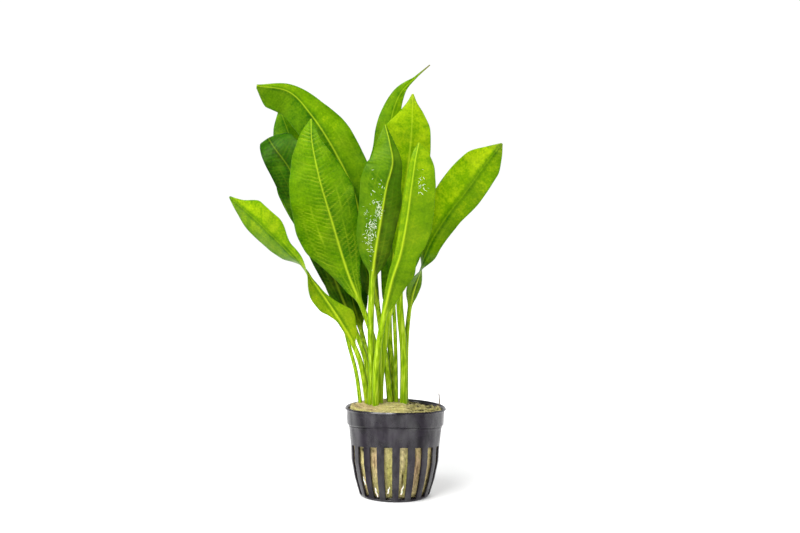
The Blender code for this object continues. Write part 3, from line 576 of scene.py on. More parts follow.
# %% [markdown]
# ## Veins
#
# From the midrib an echinodorus leaf sends a few long veins that bow out and run to the tip, and between
# them many short cross veins that lean towards the tip. The blade swells a little between cross veins,
# which gives it a quilted look. Long veins sit at a steady share of the half width. Cross veins come from a
# rule: distance along the midrib, less a lean that grows outwards, cut into even steps with a chance
# strength for each.

# %% Vein pattern
LONG_VEINS = ((0.40, 0.46, 0.55), (0.74, 0.70, 0.35))
LONG_VEIN_WIDTH = 0.32
CROSS_STEP = 2.3
CROSS_LEAN = 0.35
CROSS_WIDTH = 0.30


def chance(numbers, seed):
    """A steady pseudo-random value from 0 to 1 for each whole number."""
    return np.mod(np.sin(numbers * 12.9898 + seed * 78.233) * 43758.5453, 1.0)


def ripples(x, y, seed):
    """Soft irregular waves from -1 to 1 over a plane, as a sum of a few sines."""
    total = np.zeros(np.broadcast(x, y).shape)
    for step in range(4):
        angle = seed * 1.7 + step * 2.4
        pitch = 1.0 + 0.37 * step
        total += np.sin((x * math.cos(angle) + y * math.sin(angle)) * pitch + seed * 3.1 + step * 1.3)
    return total / 4.0


def vein_pattern(run, ripe, spot, width, seed):
    """How much vein there is at each point, and the swelling between cross veins, from 0 to 1."""
    reach = np.abs(spot) * width
    veins = np.zeros(np.broadcast(run, spot).shape)
    for start, end, strength in LONG_VEINS:
        middle = start + (end - start) * ripe + 0.015 * np.sin(run * 0.21 + seed)
        fade = clamp(ripe / 0.06) * clamp((0.96 - ripe) / 0.25)
        line = bell((np.abs(spot) - middle) * width, LONG_VEIN_WIDTH)
        veins = np.maximum(veins, strength * fade * line)
    side = np.sign(spot)
    wander = 0.5 * ripples(run * 0.35, reach * 0.5, seed)
    phase = (run - CROSS_LEAN * reach - 0.02 * reach ** 2 + wander) / CROSS_STEP + 0.37 * side
    line = np.round(phase)
    strength = 0.25 + 0.75 * chance(line + 31.0 * side, seed)
    room = clamp((width - 1.5) / 4.0) * clamp((1.0 - np.abs(spot)) / 0.25)
    cross = bell((phase - line) * CROSS_STEP, CROSS_WIDTH) * strength * room
    swell = 0.5 + 0.5 * np.cos(TURN * phase)
    return veins, cross, swell * room * strength


print("there is a cross vein every", CROSS_STEP, "mm and", 2 * len(LONG_VEINS), "long veins beside the midrib")

# %% [markdown]
# ## Loft a leaf
#
# A grid holds every ring of the leaf at once: one row for each station along the midrib and one column for
# each place across. A round stalk and an open blade are worked out for the whole grid and mixed where the
# stalk flattens. The midrib stands out below and is a shallow groove above, as on the real leaf.

# %% A leaf's rings and axes
ACROSS_COUNT = 49
STALK_STATIONS = 60
BLADE_STATIONS = 190
BLADE_SKIN = 0.24
MARGIN_SKIN = 0.10
MIDRIB_SHARE = 0.8
MIDRIB_TAPER = 0.8
FLATTENING = 0.06
WAVE_FULL_WIDTH = 8.0
RUFFLE_HEIGHT = 0.35
SWELL_HEIGHT = 0.22
STALK_FAN = math.radians(80.0)
SPOTS = np.linspace(-1.0, 1.0, ACROSS_COUNT)
SPOTS = np.sign(SPOTS) * np.abs(SPOTS) ** 1.15
# What the tone gains to the tip, in soft patches and in fine ones, and loses at the margin and as painted shade
# beside the cross veins
TIP_TONE, PATCH_TONE, FINE_TONE, MARGIN_TONE, PAINTED_QUILT_SHADE = 0.16, 0.08, 0.07, 0.10, 0.35


def leaf_axes(along, turn):
    """Directions across the blade and below it at each station, turned about the midrib."""
    side = np.array((1.0, 0.0, 0.0))
    sides = []
    for direction in along:
        side = side - direction * side.dot(direction)
        side /= np.linalg.norm(side)
        sides.append(side)
    sides = np.array(sides)
    backs = np.cross(along, sides)
    return ((sides * np.cos(turn) - backs * np.sin(turn))[:, None, :],
            (sides * np.sin(turn) + backs * np.cos(turn))[:, None, :])


print("a leaf has", STALK_STATIONS + BLADE_STATIONS, "rings of", 2 * ACROSS_COUNT, "points")

# %% A leaf's grid
def leaf_grid(leaf, seed):
    """Points of the leaf's lower and upper faces and the facts of each, station by station."""
    blade_start = leaf["blade"][0][0]
    part = np.linspace(0.0, 1.0, BLADE_STATIONS)
    part = part + 0.15 * part * (1.0 - part)
    shares = np.concatenate([blade_start * np.arange(STALK_STATIONS) / STALK_STATIONS,
                             blade_start + (1.0 - blade_start) * part])
    places, along, length = walk_line(smooth_line(leaf["midrib"]), shares)
    widths = read_stops(leaf["blade"], shares)
    across, below = leaf_axes(along, np.radians(read_stops(leaf["turn"], shares)))

    share = shares[:, None]
    spot = SPOTS[None, :]
    run = share * length
    ripe = clamp((share - blade_start) / (1.0 - blade_start))
    width = np.where(spot < 0, widths[:, :1], widths[:, 1:])
    reach = spot * width
    broad = np.minimum(width / WAVE_FULL_WIDTH, 1.0)
    foot_radius, top_radius = leaf["stalk"]
    radius = top_radius + (foot_radius - top_radius) * clamp(1.0 - share / blade_start)
    radius = radius * (1.0 - MIDRIB_TAPER * ripe)
    flatness = clamp((share - blade_start) / FLATTENING)
    flatness = (flatness * flatness * (3 - 2 * flatness))[:, :, None]

    # The blade is folded along its midrib, waved and ruffled to the margin, and quilted by its veins
    fold = math.radians(leaf["fold"])
    height, number, phase = leaf["waves"]
    swing = np.sin(TURN * number * ripe + phase + np.where(spot < 0, -1.0, 1.0))
    ruffle = np.sin(TURN * number * 2.7 * ripe + 3.0 * phase + np.where(spot < 0, 0.0, 2.0))
    lift = (np.sqrt(spot ** 2 + 0.004) - math.sqrt(0.004)) * width * math.sin(fold)
    lift = lift + height * spot ** 2 * swing * broad + RUFFLE_HEIGHT * np.abs(spot) ** 3 * ruffle * broad
    veins, cross, swell = vein_pattern(run, ripe, spot, width, seed)
    lift = lift + leaf["quilt"] * (swell - 0.5) + SWELL_HEIGHT * broad * ripples(run * 0.22, reach * 0.28, seed)
    jag = 1.0 - 0.012 * (0.5 + 0.5 * ripples(run * 0.5, np.sign(spot) * 2.0, seed + 2.0))
    skin = MARGIN_SKIN + (BLADE_SKIN - MARGIN_SKIN) * clamp((1.0 - np.abs(spot)) / 0.3)
    rib = bell(reach, 0.9 * radius)
    angle = spot * STALK_FAN

    # Below, the midrib and veins stand out and the stalk is fluted; above, both have a shallow channel
    thick_below = skin + (MIDRIB_SHARE * radius - skin).clip(0.0) * rib + 0.10 * veins + 0.04 * cross
    thick_above = skin - 0.10 * rib + 0.05 * (veins + cross)
    fluted = radius * (1.0 + 0.03 * np.cos(5.0 * angle))
    channelled = radius * (1.0 - 0.16 * bell(spot, 0.3))
    grids = []
    for layer, thick, round_radius in ((1.0, thick_below, fluted), (-1.0, thick_above, channelled)):
        flat = across * (reach * jag * math.cos(fold))[:, :, None] + below * (lift + layer * thick)[:, :, None]
        rounded = across * np.sin(angle)[:, :, None] + below * (layer * np.cos(angle))[:, :, None]
        rounded = rounded * round_radius[:, :, None]
        grids.append(places[:, None, :] + rounded * (1.0 - flatness) + flat * flatness)

    opened = flatness[:, :, 0]
    # The tone carries painted shade: on halves and leaves that lie in shade, at a shaded foot, beside the cross
    # veins and in the groove by the midrib
    long_light, cross_light, groove_shade = leaf["veins"]
    left_tone, right_tone = leaf["tones"]
    half_tone = left_tone + (right_tone - left_tone) * (0.5 + 0.5 * np.tanh(reach / 0.8))
    clear = np.clip(0.65 + 0.9 * ripples(run * 0.13, reach * 0.22, seed + 7.0), 0.3, 1.0)
    groove = bell(np.abs(reach) - 0.9 * radius - 0.3, 0.5 + 0.06 * width)
    # The stalk's colour gives way to the darker blade green at its sides: painted shade where they turn from
    # the light
    stalk_lit_front = 1.0 - 0.75 * np.abs(spot) ** 2.5
    tone = (half_tone + TIP_TONE * (ripe - 0.5) + leaf["foot"] * (1.0 - ripe) ** 2
            + PATCH_TONE * ripples(run * 0.12, reach * 0.2, seed + 5.0)
            + FINE_TONE * ripples(run * 0.9, reach * 0.25, seed + 3.0) - MARGIN_TONE * np.abs(spot) ** 6
            - PAINTED_QUILT_SHADE * cross_light * clear * swell * opened - groove_shade * groove * opened)
    shown = 0.0 * share * spot
    for middle, place, long, wide, strength in leaf["flecks"]:
        shown = shown + strength * np.exp(-((share - middle) / long) ** 2 - ((spot - place) / wide) ** 2)
    facts = {
        "tone": tone,
        "rib": opened * 0.85 * bell(reach, 0.42 * radius + 0.10) * (1.0 - 0.4 * ripe),
        "vein": opened * np.maximum(long_light * veins, cross_light * cross) * clear,
        "stalk": ((1.0 - opened) + opened * 0.35 * clamp(1.0 - ripe / 0.12)) * stalk_lit_front,
        "dry": leaf["dry"] * clamp((share - 0.955) / 0.045),
        "shown": shown,
    }
    shape = np.broadcast(share, spot).shape
    return grids, {fact: np.broadcast_to(values, shape) for fact, values in facts.items()}


plain_grid, plain_facts = leaf_grid({**LEAF_PLAIN, **LEAVES["leaf_centre"]}, 0)
print("the centre leaf reaches", round(plain_grid[0][..., 2].max(), 1), "mm and carries", list(plain_facts))

# %% Close the leaves
def grow_leaf(name, leaf, seed):
    """One closed leaf: the rings of its grid joined up, with a point at its foot and one at its tip."""
    (lower, upper), facts = leaf_grid(leaf, seed)
    rings = np.concatenate([lower, upper[:, ::-1]], axis=1)
    points = np.vstack([rings.reshape(-1, 3), rings[0].mean(axis=0), rings[-1].mean(axis=0)])
    columns = {fact: np.concatenate([v, v[:, ::-1]], axis=1) for fact, v in facts.items()}
    below = np.concatenate([np.ones(ACROSS_COUNT), np.zeros(ACROSS_COUNT)]) * np.ones_like(columns["tone"])
    rib_light = columns.pop("rib") * np.where(below > 0, 1.0, leaf["rib"])
    columns.update(under=below, shown=columns["shown"] * below, vein=np.maximum(columns["vein"], rib_light))
    values = {fact: np.concatenate([v.ravel(), [v[0].mean(), v[-1].mean()]]) for fact, v in columns.items()}
    faces = ring_faces(*rings.shape[:2])
    piece = make_piece(name.replace("leaf_", "") + "_leaf", points, faces, leaf_skin, values)
    join_part(piece, "leaf", name)
    return piece


leaves = {name: grow_leaf(name, {**LEAF_PLAIN, **leaf}, seed)
          for seed, (name, leaf) in enumerate(LEAVES.items(), start=1)}

# %% [markdown]
# ## The pot's plastic
#
# The pot is injection-moulded black polypropylene. It comes from a polished mould, so it is satin and not
# matt, with faint flow lines round it and a damp film that makes some patches shinier than others.

# %% Pot material
pot_plastic, tree, shader, place, film = new_material("moulded black polypropylene, satin and damp", "film")
damp = add_node(tree, "ShaderNodeTexNoise", {
    "Vector": place, "Scale": 1 / (9 * MM), "Detail": 4.0, "Roughness": 0.6, "Distortion": 0.6})
black = add_node(tree, "ShaderNodeValToRGB", {0: damp}, [(0.35, "#120F15"), (0.7, "#231D27")])
gloss = add_node(tree, "ShaderNodeMapRange", {0: damp, 1: 0.42, 2: 0.62, 3: 0.20, 4: 0.38})
round_wall = add_node(tree, "ShaderNodeMapping", {"Vector": place, "Scale": (1.0, 1.0, 7.0)})
flow_lines = add_node(tree, "ShaderNodeTexNoise", {"Vector": round_wall, "Scale": 1 / (8 * MM), "Detail": 3.0})
relief = add_node(tree, "ShaderNodeBump", {"Strength": 0.25, "Distance": 0.12 * MM, "Height": flow_lines})
# Where water has run down the wall its film fills the grain, so less of the tent's light comes back
down_wall = add_node(tree, "ShaderNodeMapping", {"Vector": place, "Scale": (1.0, 1.0, 0.35)})
runs = add_node(tree, "ShaderNodeTexNoise", {
    "Vector": down_wall, "Scale": 1 / (5 * MM), "Detail": 4.0, "Roughness": 0.6})
bare_shine = add_node(tree, "ShaderNodeMapRange", {0: runs, 1: 0.35, 2: 0.65, 3: 0.80, 4: 0.28})
shine = add_node(tree, "ShaderNodeMapRange", {0: film, 1: 0.0, 2: 1.0, 3: bare_shine, 4: 0.10})
set_inputs(tree, shader, {
    "Base Color": black, "Roughness": gloss, "Specular IOR Level": shine, "Normal": relief, "IOR": 1.49})
print("the pot's material has", len(tree.nodes), "nodes")

# %% [markdown]
# ## The net pot
#
# The wall repeats eighteen times round the pot: one rib with half a slot on each side of it. So one such
# wedge is made as an open sheet, with round corners in its profile, and a Geometry Nodes tree sets copies
# of it round the axis and welds them. The soft wall of a filled pot is squeezed a little: its collar stands
# 2 mm higher at the front and back than at the sides, so the sheet is raised there. Solidify then gives the
# sheet its wall and Bevel breaks the moulded edges.

# %% The pot's profile
# Down the outside: radius, height, and how far the collar rises at the front and back
POT_SKIN = [(27.0, 46.0, 0.75), (26.2, 45.5, 0.75), (25.8, 37.9, 2.2), (24.8, 37.2, 2.2), (25.05, 36.7, 2.2),
            (24.75, 36.2, 2.2), (23.7, 27.2, 2.0), (23.3, 19.0, 0.8), (21.5, 9.8, 0.0), (19.9, 4.4, 0.0),
            (18.9, 1.2, 0.0), (18.0, 0.0, 0.0), (15.6, 0.0, 0.0), (8.6, 0.0, 0.0)]
POT_WALL = 1.0
SLOT_COUNT = 18
SLOT_SHARE = 0.52
SIDE_SLOT = (27.2, 1.2)
SIDE_SLOT_RADII = (23.7, 18.9)
BASE_SLOT = (15.6, 8.6)
PROFILE_STEP = 0.9
CORNER = 0.35
WEDGE = 360.0 / SLOT_COUNT
RIB_HALF = WEDGE * (1.0 - SLOT_SHARE) / 2.0
POT_TURN = 1.5
FRONT = -90.0 + POT_TURN


def round_profile(points):
    """The pot's profile with each corner cut back to a small round, and long runs split into steps."""
    kept = [np.array(points[0], float)]
    for before, here, after in zip(points, points[1:], points[2:]):
        before, here, after = (np.array(p, float) for p in (before, here, after))
        back, ahead = before - here, after - here
        trim = min(CORNER, 0.3 * np.linalg.norm(back), 0.3 * np.linalg.norm(ahead))
        start = here + back / np.linalg.norm(back) * trim
        end = here + ahead / np.linalg.norm(ahead) * trim
        kept += [start, (start + end) * 0.25 + here * 0.5, end]
    kept.append(np.array(points[-1], float))
    filled = [kept[0]]
    for a, b in zip(kept, kept[1:]):
        count = max(1, math.ceil(np.linalg.norm(b - a) / PROFILE_STEP))
        filled += [a + (b - a) * k / count for k in range(1, count + 1)]
    return filled


def in_slot(a, b):
    """True if this stretch of the profile runs through the side slots or the base slots."""
    radius, height = (a + b) / 2
    side_slot = SIDE_SLOT[1] < height < SIDE_SLOT[0]
    base_slot = height < 0.01 and BASE_SLOT[1] < radius < BASE_SLOT[0]
    return side_slot or base_slot


def snap_profile(profile):
    """Adds the exact ends of the slots to the profile."""
    marks = [*zip(SIDE_SLOT_RADII, SIDE_SLOT), *((radius, 0.0) for radius in BASE_SLOT)]
    for mark in marks:
        nearest = min(range(len(profile)), key=lambda k: np.linalg.norm(profile[k] - np.array(mark)))
        profile[nearest] = np.array(mark, float)
    return profile


profile = snap_profile(round_profile([row[:2] for row in POT_SKIN]))
print("the profile has", len(profile), "points from lip to hub")

# %% One wedge of the pot
columns = np.concatenate([np.linspace(-WEDGE / 2, -RIB_HALF, 5), np.linspace(-RIB_HALF, RIB_HALF, 7)[1:-1],
                          np.linspace(RIB_HALF, WEDGE / 2, 5)])
column_count = len(columns)
wedge_points = [(r * math.cos(math.radians(FRONT + a)), r * math.sin(math.radians(FRONT + a)), z)
                for r, z in profile for a in columns]
wedge_faces = []
for k, (a, b) in enumerate(zip(profile, profile[1:])):
    for c in range(column_count - 1):
        if in_slot(a, b) and abs(columns[c] + columns[c + 1]) / 2 > RIB_HALF:
            continue
        upper, lower = k * column_count + c, (k + 1) * column_count + c
        wedge_faces.append((upper, lower, lower + 1, upper + 1))
hub = len(wedge_points)
wedge_points.append((0.0, 0.0, 0.0))
wedge_faces += [(hub - column_count + c, hub, hub - column_count + c + 1) for c in range(column_count - 1)]
wedge_mesh = bpy.data.meshes.new("pot wedge")
wedge_mesh.from_pydata([Vector(p) * MM for p in wedge_points], [], wedge_faces)
wedge = link_object("pot wedge", wedge_mesh)
print("the wedge has", len(wedge_faces), "faces in", column_count - 1, "columns")

# %% Set the wedges round the axis
ring_tree, given, result = new_tree("copies round an axis", Copies="Int", Weld="Float", Material="Material")
spots_round = add_node(ring_tree, "GeometryNodePoints", {"Count": given["Copies"]})
number = add_node(ring_tree, "GeometryNodeInputIndex")
step = add_node(ring_tree, "ShaderNodeMath", {0: TURN, 1: given["Copies"]}, operation="DIVIDE")
angle = add_node(ring_tree, "ShaderNodeMath", {0: number, 1: step}, operation="MULTIPLY")
turned = add_node(ring_tree, "ShaderNodeCombineXYZ", {"Z": angle})
copies = add_node(ring_tree, "GeometryNodeInstanceOnPoints", {
    "Points": spots_round, "Instance": given["Geometry"], "Rotation": turned})
end_tree(ring_tree, given, result, copies)

pot_sheet = run_tree(ring_tree, wedge, "pot_sheet",
                     {"Copies": SLOT_COUNT, "Weld": 0.02 * MM, "Material": pot_plastic})
bpy.data.objects.remove(wedge)
print("the ring has", len(pot_sheet.data.polygons), "faces")

# %% Raise the collar at the front and back, then give the sheet its wall
EDGE_ROUND = 0.16

skin_radii, skin_heights, skin_arches = (np.array(column)[::-1] for column in zip(*POT_SKIN))
sheet = read_points(pot_sheet.data)
front_share = sheet[:, 1] / np.maximum(np.hypot(sheet[:, 0], sheet[:, 1]), MM)
sheet[:, 2] += np.interp(sheet[:, 2], skin_heights * MM, skin_arches * MM) * front_share ** 2
pot_sheet.data.vertices.foreach_set("co", sheet.ravel())
pot_sheet.data.update()
wall = pot_sheet.modifiers.new("wall", "SOLIDIFY")
wall.thickness = POT_WALL * MM
wall.offset = -1.0
wall.use_even_offset = True
edge = pot_sheet.modifiers.new("edge", "BEVEL")
edge.width = EDGE_ROUND * MM
edge.segments = 2
edge.limit_method = "ANGLE"
edge.angle_limit = math.radians(50.0)
graph = bpy.context.evaluated_depsgraph_get()
pot_mesh = bpy.data.meshes.new_from_object(pot_sheet.evaluated_get(graph), depsgraph=graph)
pot_mesh.shade_smooth()
pot_mesh.set_sharp_from_angle(angle=math.radians(35.0))
print("the collar rises by up to", skin_arches.max(), "mm")

# %% Runs of damp down the wall
# Each run: degrees round from the front, width in degrees, strength
FILM_RUNS = ((-44.0, 7.0, 0.9), (31.0, 8.0, 0.9), (-12.0, 3.0, 0.4), (66.0, 4.0, 0.5), (-66.0, 3.0, 0.4),
             (110.0, 8.0, 0.8), (160.0, 6.0, 0.7), (-120.0, 9.0, 0.8), (-160.0, 5.0, 0.6))

wall_x, wall_y, wall_z = read_points(pot_mesh).T / MM
from_front = (np.degrees(np.arctan2(wall_y, wall_x)) - FRONT + 180.0) % 360.0 - 180.0
wavering = 2.0 * ripples(wall_z * 0.25, from_front * 0.02, 5.0)
set_fact(pot_mesh, "film", sum(strength * bell(from_front + wavering - around, wide)
                               for around, wide, strength in FILM_RUNS))
net_pot = link_object("net_pot", pot_mesh)
bpy.data.objects.remove(pot_sheet)
join_part(net_pot, "pot", "pot")

# %% [markdown]
# ## The mineral wool
#
# The plug is spun mineral wool, a strip of it wound round the roots and pushed into the pot. It has no
# gloss. Its fibres lie in mats of pale yellow, tan and olive, with algae in patches. A dark olive is mixed in
# by the low fact: painted shade in the spiral groove, the hollow, the cracks and between the open layers,
# damp mixed with painted shade in a few patches on the side, and random speckle.

# %% Wool material
wool_mat, tree, shader, place, moss, tan, low = new_material(
    "spun mineral wool, matted, damp, with painted shade", "moss", "tan", "low")
upright = add_node(tree, "ShaderNodeMapping", {"Vector": place, "Scale": (1.0, 1.0, 0.45)})
mats = add_node(tree, "ShaderNodeTexNoise", {
    "Vector": upright, "Scale": 1 / (5.5 * MM), "Detail": 4.0, "Roughness": 0.65})
strands = add_node(tree, "ShaderNodeTexNoise", {
    "Vector": upright, "Scale": 1 / (0.7 * MM), "Detail": 3.0, "Roughness": 0.7, "Distortion": 1.2})
shade = add_node(tree, "ShaderNodeMapRange", {0: strands, 1: 0.35, 2: 0.65, 3: 0.55, 4: 1.15})
relief = add_node(tree, "ShaderNodeBump", {"Strength": 0.8, "Distance": 0.25 * MM, "Height": strands})
colour = add_node(tree, "ShaderNodeValToRGB", {0: mats}, [
    (0.25, "#A8935E"), (0.75, "#E2D8A4"), (0.42, "#D6C892"), (0.58, "#CFC380")])
# The last mix, by the low fact, is a dark olive: painted shade in recesses, with damp in a few patches
for share, over, way in ((moss, "#A8A650", "MIX"), (tan, "#BC9F7A", "MIX"), (1.0, shade, "MULTIPLY"),
                         (low, "#2E2A10", "MIX")):
    colour = add_node(tree, "ShaderNodeMix", {0: share, 6: colour, 7: over}, data_type="RGBA", blend_type=way)
set_inputs(tree, shader, {
    "Base Color": colour, "Normal": relief, "Roughness": 0.95, "Specular IOR Level": 0.15})
print("the wool's material has", len(tree.nodes), "nodes")

# %% [markdown]
# ## The plug's form
#
# The plug is one skin on a grid that starts in the middle of its top, runs out to the rim, down the wall
# and in again below. The wound strip shows on top as a spiral groove. On the right the strip's end has
# slumped, and its layers stand open in a crescent. The side is uneven and has cracks, and it stands out a
# little behind the ribs.

# %% The plug's measures
WOOL_COLUMNS = 360
WOOL_SIDE = [(24.3, 44.0), (24.2, 42.4), (23.1, 39.8), (22.7, 36.0), (22.0, 28.0), (21.3, 19.0), (19.3, 10.0),
             (17.8, 4.8), (16.4, 1.4)]
WOOL_FLOOR = 1.4
WOOL_RIM = 44.0
WOOL_RIM_ROUND = 2.2
WOOL_TOP_EDGE = 46.9
WOOL_TOP_RADIUS = 24.0
WOOL_SHOULDER = 22.9
WOOL_CROWN_RISE = 2.0
WOOL_TILT = 0.02
WOOL_HOLLOW = (12.0, 12.0, 8.0, 1.4)
STRIP_PITCH = 6.4
LAYER_PITCH = 2.7
# Patches on the side: degrees round from the front, height, width in degrees, height of the patch, strength
CRACKS = ((10.5, 12.0, 1.2, 4.6, 1.0), (28.0, 24.0, 0.9, 3.0, 1.0), (33.0, 17.0, 1.0, 2.0, 1.0),
          (-50.0, 24.5, 2.0, 1.8, 1.0), (-31.0, 20.0, 0.7, 3.0, 1.0), (52.0, 9.0, 0.8, 2.6, 1.0))
DAMP_AND_SHADE_PLACES = ((12.5, 19.0, 1.2, 7.0, 0.5), (27.0, 20.0, 1.6, 3.0, 0.6), (31.0, 10.0, 1.4, 3.0, 0.5),
               (-50.0, 26.5, 5.0, 1.4, 0.9), (7.0, 5.0, 1.2, 2.0, 0.6), (-33.0, 26.5, 4.0, 1.0, 0.5))
MOSS_PLACES = ((-9.0, 14.0, 8.0, 14.0, 0.8), (14.5, 15.0, 2.5, 11.0, 0.9), (-28.0, 8.0, 7.0, 6.0, 0.5))
TAN_PLACES = ((-30.0, 22.0, 8.0, 7.0, 0.9), (31.0, 17.0, 8.0, 13.0, 1.0), (52.0, 14.0, 7.0, 12.0, 0.5))
ABOVE_SLOTS = 43.0


def wool_radius(height):
    """The plug's radius at each height, read down its side."""
    radii, heights = zip(*WOOL_SIDE)
    return np.interp(height, heights[::-1], radii[::-1])


print("the plug tapers from", wool_radius(WOOL_RIM), "to", wool_radius(WOOL_FLOOR), "mm in radius")

# %% The plug's top and its patches
def patches_at(places, around, height):
    """How near a place on the side is to the centres of some soft patches, from 0 to 1."""
    total = 0.0
    for angle, middle, wide, tall, strength in places:
        total = total + strength * np.exp(-((around - angle) / wide) ** 2 - ((height - middle) / tall) ** 2)
    return clamp(total)


def wool_top(x, y):
    """Height of the wool's upper face and its darkening, 0 to 1: speckle, and painted shade in groove, hollow
    and open layers.
    """
    r = np.hypot(x, y)
    around = np.arctan2(y, x)
    reach = np.minimum(r / WOOL_TOP_RADIUS, 1.0)
    height = WOOL_TOP_EDGE - WOOL_TILT * x + WOOL_CROWN_RISE * (1.0 - reach ** 2.2)
    middle_x, middle_y, wide, deep = WOOL_HOLLOW
    hollow = np.exp(-((x - middle_x) ** 2 + (y - middle_y) ** 2) / wide ** 2)
    open_side = clamp((x - 4.0) / 6.0)
    coil = (r + STRIP_PITCH * (around + 0.5) / TURN + 0.6 * ripples(x * 0.2, y * 0.2, 3.0)) / STRIP_PITCH
    groove = bell((coil - np.round(coil)) * STRIP_PITCH, 0.6) * clamp(r / 6.0)
    layers = (r - 2.6 * np.sin(around * 1.7 + 0.4) + 0.5 * ripples(x * 0.5, y * 0.5, 2.0)) / LAYER_PITCH
    curl = bell((layers - np.round(layers)) * LAYER_PITCH, 0.42) * open_side
    height -= groove * (0.5 + 0.7 * open_side) + deep * hollow + 0.9 * open_side * (1.0 - curl)
    height += 0.35 * ripples(x * 0.55, y * 0.5, 7.0) + 0.14 * ripples(x * 2.3, y * 2.1, 9.0)
    speckle = clamp(ripples(x * 1.9, y * 1.7, 12.0))
    # Painted shade in the spiral groove, the hollow and between the open layers, over random speckle
    low = 0.14 + 0.5 * speckle + 0.6 * groove + 0.6 * hollow + 0.85 * open_side * (1.0 - curl)
    return height, clamp(low)


middle_height = float(wool_top(np.array(0.01), np.array(0.01))[0])
print("the wool's middle is", round(middle_height, 1), "mm high")

# %% The plug's skin, ring by ring
def wool_ring(radius, height, low, shown, moss, tan):
    """One ring of the plug's skin, as rows of a point and its four facts."""
    ring = (radius * np.cos(angles), radius * np.sin(angles), height, low, shown, moss, tan)
    return np.stack(np.broadcast_arrays(*ring), axis=1)


angles = np.arange(WOOL_COLUMNS) / WOOL_COLUMNS * TURN
around = (np.degrees(angles) - FRONT + 180.0) % 360.0 - 180.0
from_slot = np.abs(around % WEDGE - WEDGE / 2)
side_rows = np.concatenate([np.linspace(46.2, 44.0, 6), np.linspace(43.6, 29.0, 18), np.linspace(28.6, 4.0, 90),
                            np.linspace(3.6, 1.6, 7)])
wool_rows = []
for r in np.linspace(0.02, 1.0, 72) * WOOL_SHOULDER:
    x = r * np.cos(angles)
    height, low = wool_top(x, r * np.sin(angles))
    tan = np.clip((-x - 6.0) / 8.0, 0.0, 0.8)
    wool_rows.append(wool_ring(r, height, low, 0.7 * (1.0 - 0.8 * low), 0.6, tan))
rim_height = wool_rows[-1][:, 2]
for z in side_rows:
    behind_rib = clamp((from_slot - RIB_HALF) / 1.2) * clamp((SIDE_SLOT[0] - z) / 1.0)
    bulge = 0.30 * behind_rib + 0.22 * ripples(angles * 21.6, z * 0.45, 4.0)
    bulge = bulge + 0.10 * ripples(angles * 60.0, z * 1.7, 6.0)
    crack = patches_at(CRACKS, around, z)
    rise = clamp((z - WOOL_RIM) / WOOL_RIM_ROUND)
    round_off = rise ** 2 + 0.6 * clamp((3.0 - z) / 1.6) ** 2
    radius = wool_radius(min(z, WOOL_RIM)) + bulge * (z < WOOL_RIM) - 1.4 * crack - round_off
    height = z * (1.0 - rise) + (WOOL_RIM + (rim_height - WOOL_RIM) * rise) * rise
    speckle = clamp(ripples(angles * 75.0, z * 1.6, 14.0))
    # Painted shade in the cracks, damp with painted shade in a few patches, and random speckle
    low = clamp(0.95 * crack + patches_at(DAMP_AND_SHADE_PLACES, around, z) + 0.45 * speckle)
    over = z > ABOVE_SLOTS
    moss = np.maximum(patches_at(MOSS_PLACES, around, z), 0.55 * over)
    tan = patches_at(TAN_PLACES, around, z) * (not over)
    wool_rows.append(wool_ring(radius, height, low, 0.8 * behind_rib + over, moss, tan))
for r in np.linspace(0.94, 0.05, 10) * wool_radius(WOOL_FLOOR):
    wool_rows.append(wool_ring(r, WOOL_FLOOR, 0.1, 0.0, 0.0, 0.0))

crown = (0.0, 0.0, middle_height, 0.0, 1.0, 0.2, 0.2)
wool_skin = np.vstack(wool_rows + [crown, (0.0, 0.0, WOOL_FLOOR, 0.0, 0.0, 0.0, 0.0)])
wool_body = make_piece("wool_body", wool_skin[:, :3], ring_faces(len(wool_rows), WOOL_COLUMNS, inward=True),
                       wool_mat, dict(zip(("low", "shown", "moss", "tan"), wool_skin[:, 3:].T)))
join_part(wool_body, "wool", "wool_plug")

# %% [markdown]
# ## Loose fibres
#
# What tells wool from clay is its fuzz. Real fibres are a few thousandths of a millimetre thick, too fine
# to show, so these are drawn at a tenth of a millimetre. A Geometry Nodes tree scatters short bent strands
# over the wool, most of them on its top, lays each along the surface at a chance angle, and makes them one
# mesh.

# %% Fibre material
# Fibres give the wool its fuzzy edge; they are lighter than the mats that they stand on
fibre_mat = mottled("single mineral fibres, pale and dry", 3, "#9A8A50", "#D6CC94", Roughness=0.8)
print("made", fibre_mat.name)

# %% One strand, and where it grows
fuzz_tree, given, result = new_tree("fibres on a surface", Density="Float", Length="Float", Thickness="Float",
                                    Seed="Int", Material="Material")
shown = add_node(fuzz_tree, "GeometryNodeInputNamedAttribute", {"Name": "shown"}, data_type="FLOAT")
density = add_node(fuzz_tree, "ShaderNodeMath", {0: shown, 1: given["Density"]}, operation="MULTIPLY")
seeds = add_node(fuzz_tree, "GeometryNodeDistributePointsOnFaces", {
    "Mesh": given["Geometry"], "Density": density, "Seed": given["Seed"]})
# One strand, a unit long and bent two ways, is stretched to its length and given a three-sided section
line = add_node(fuzz_tree, "GeometryNodeCurvePrimitiveBezierSegment", {
    "Resolution": 3, "Start": (-0.5, 0.0, -0.02), "Start Handle": (-0.2, 0.16, 0.10),
    "End Handle": (0.2, -0.14, 0.04), "End": (0.5, 0.05, 0.13)})
length = add_node(fuzz_tree, "ShaderNodeCombineXYZ", {axis: given["Length"] for axis in (0, 1, 2)})
long_line = add_node(fuzz_tree, "GeometryNodeTransform", {"Geometry": line, "Scale": length})
section = add_node(fuzz_tree, "GeometryNodeCurvePrimitiveCircle", {
    "Resolution": 3, "Radius": given["Thickness"]})
strand = add_node(fuzz_tree, "GeometryNodeCurveToMesh", {
    "Curve": long_line, "Profile Curve": section, "Fill Caps": True})
print("one strand takes", len(fuzz_tree.nodes), "nodes so far")

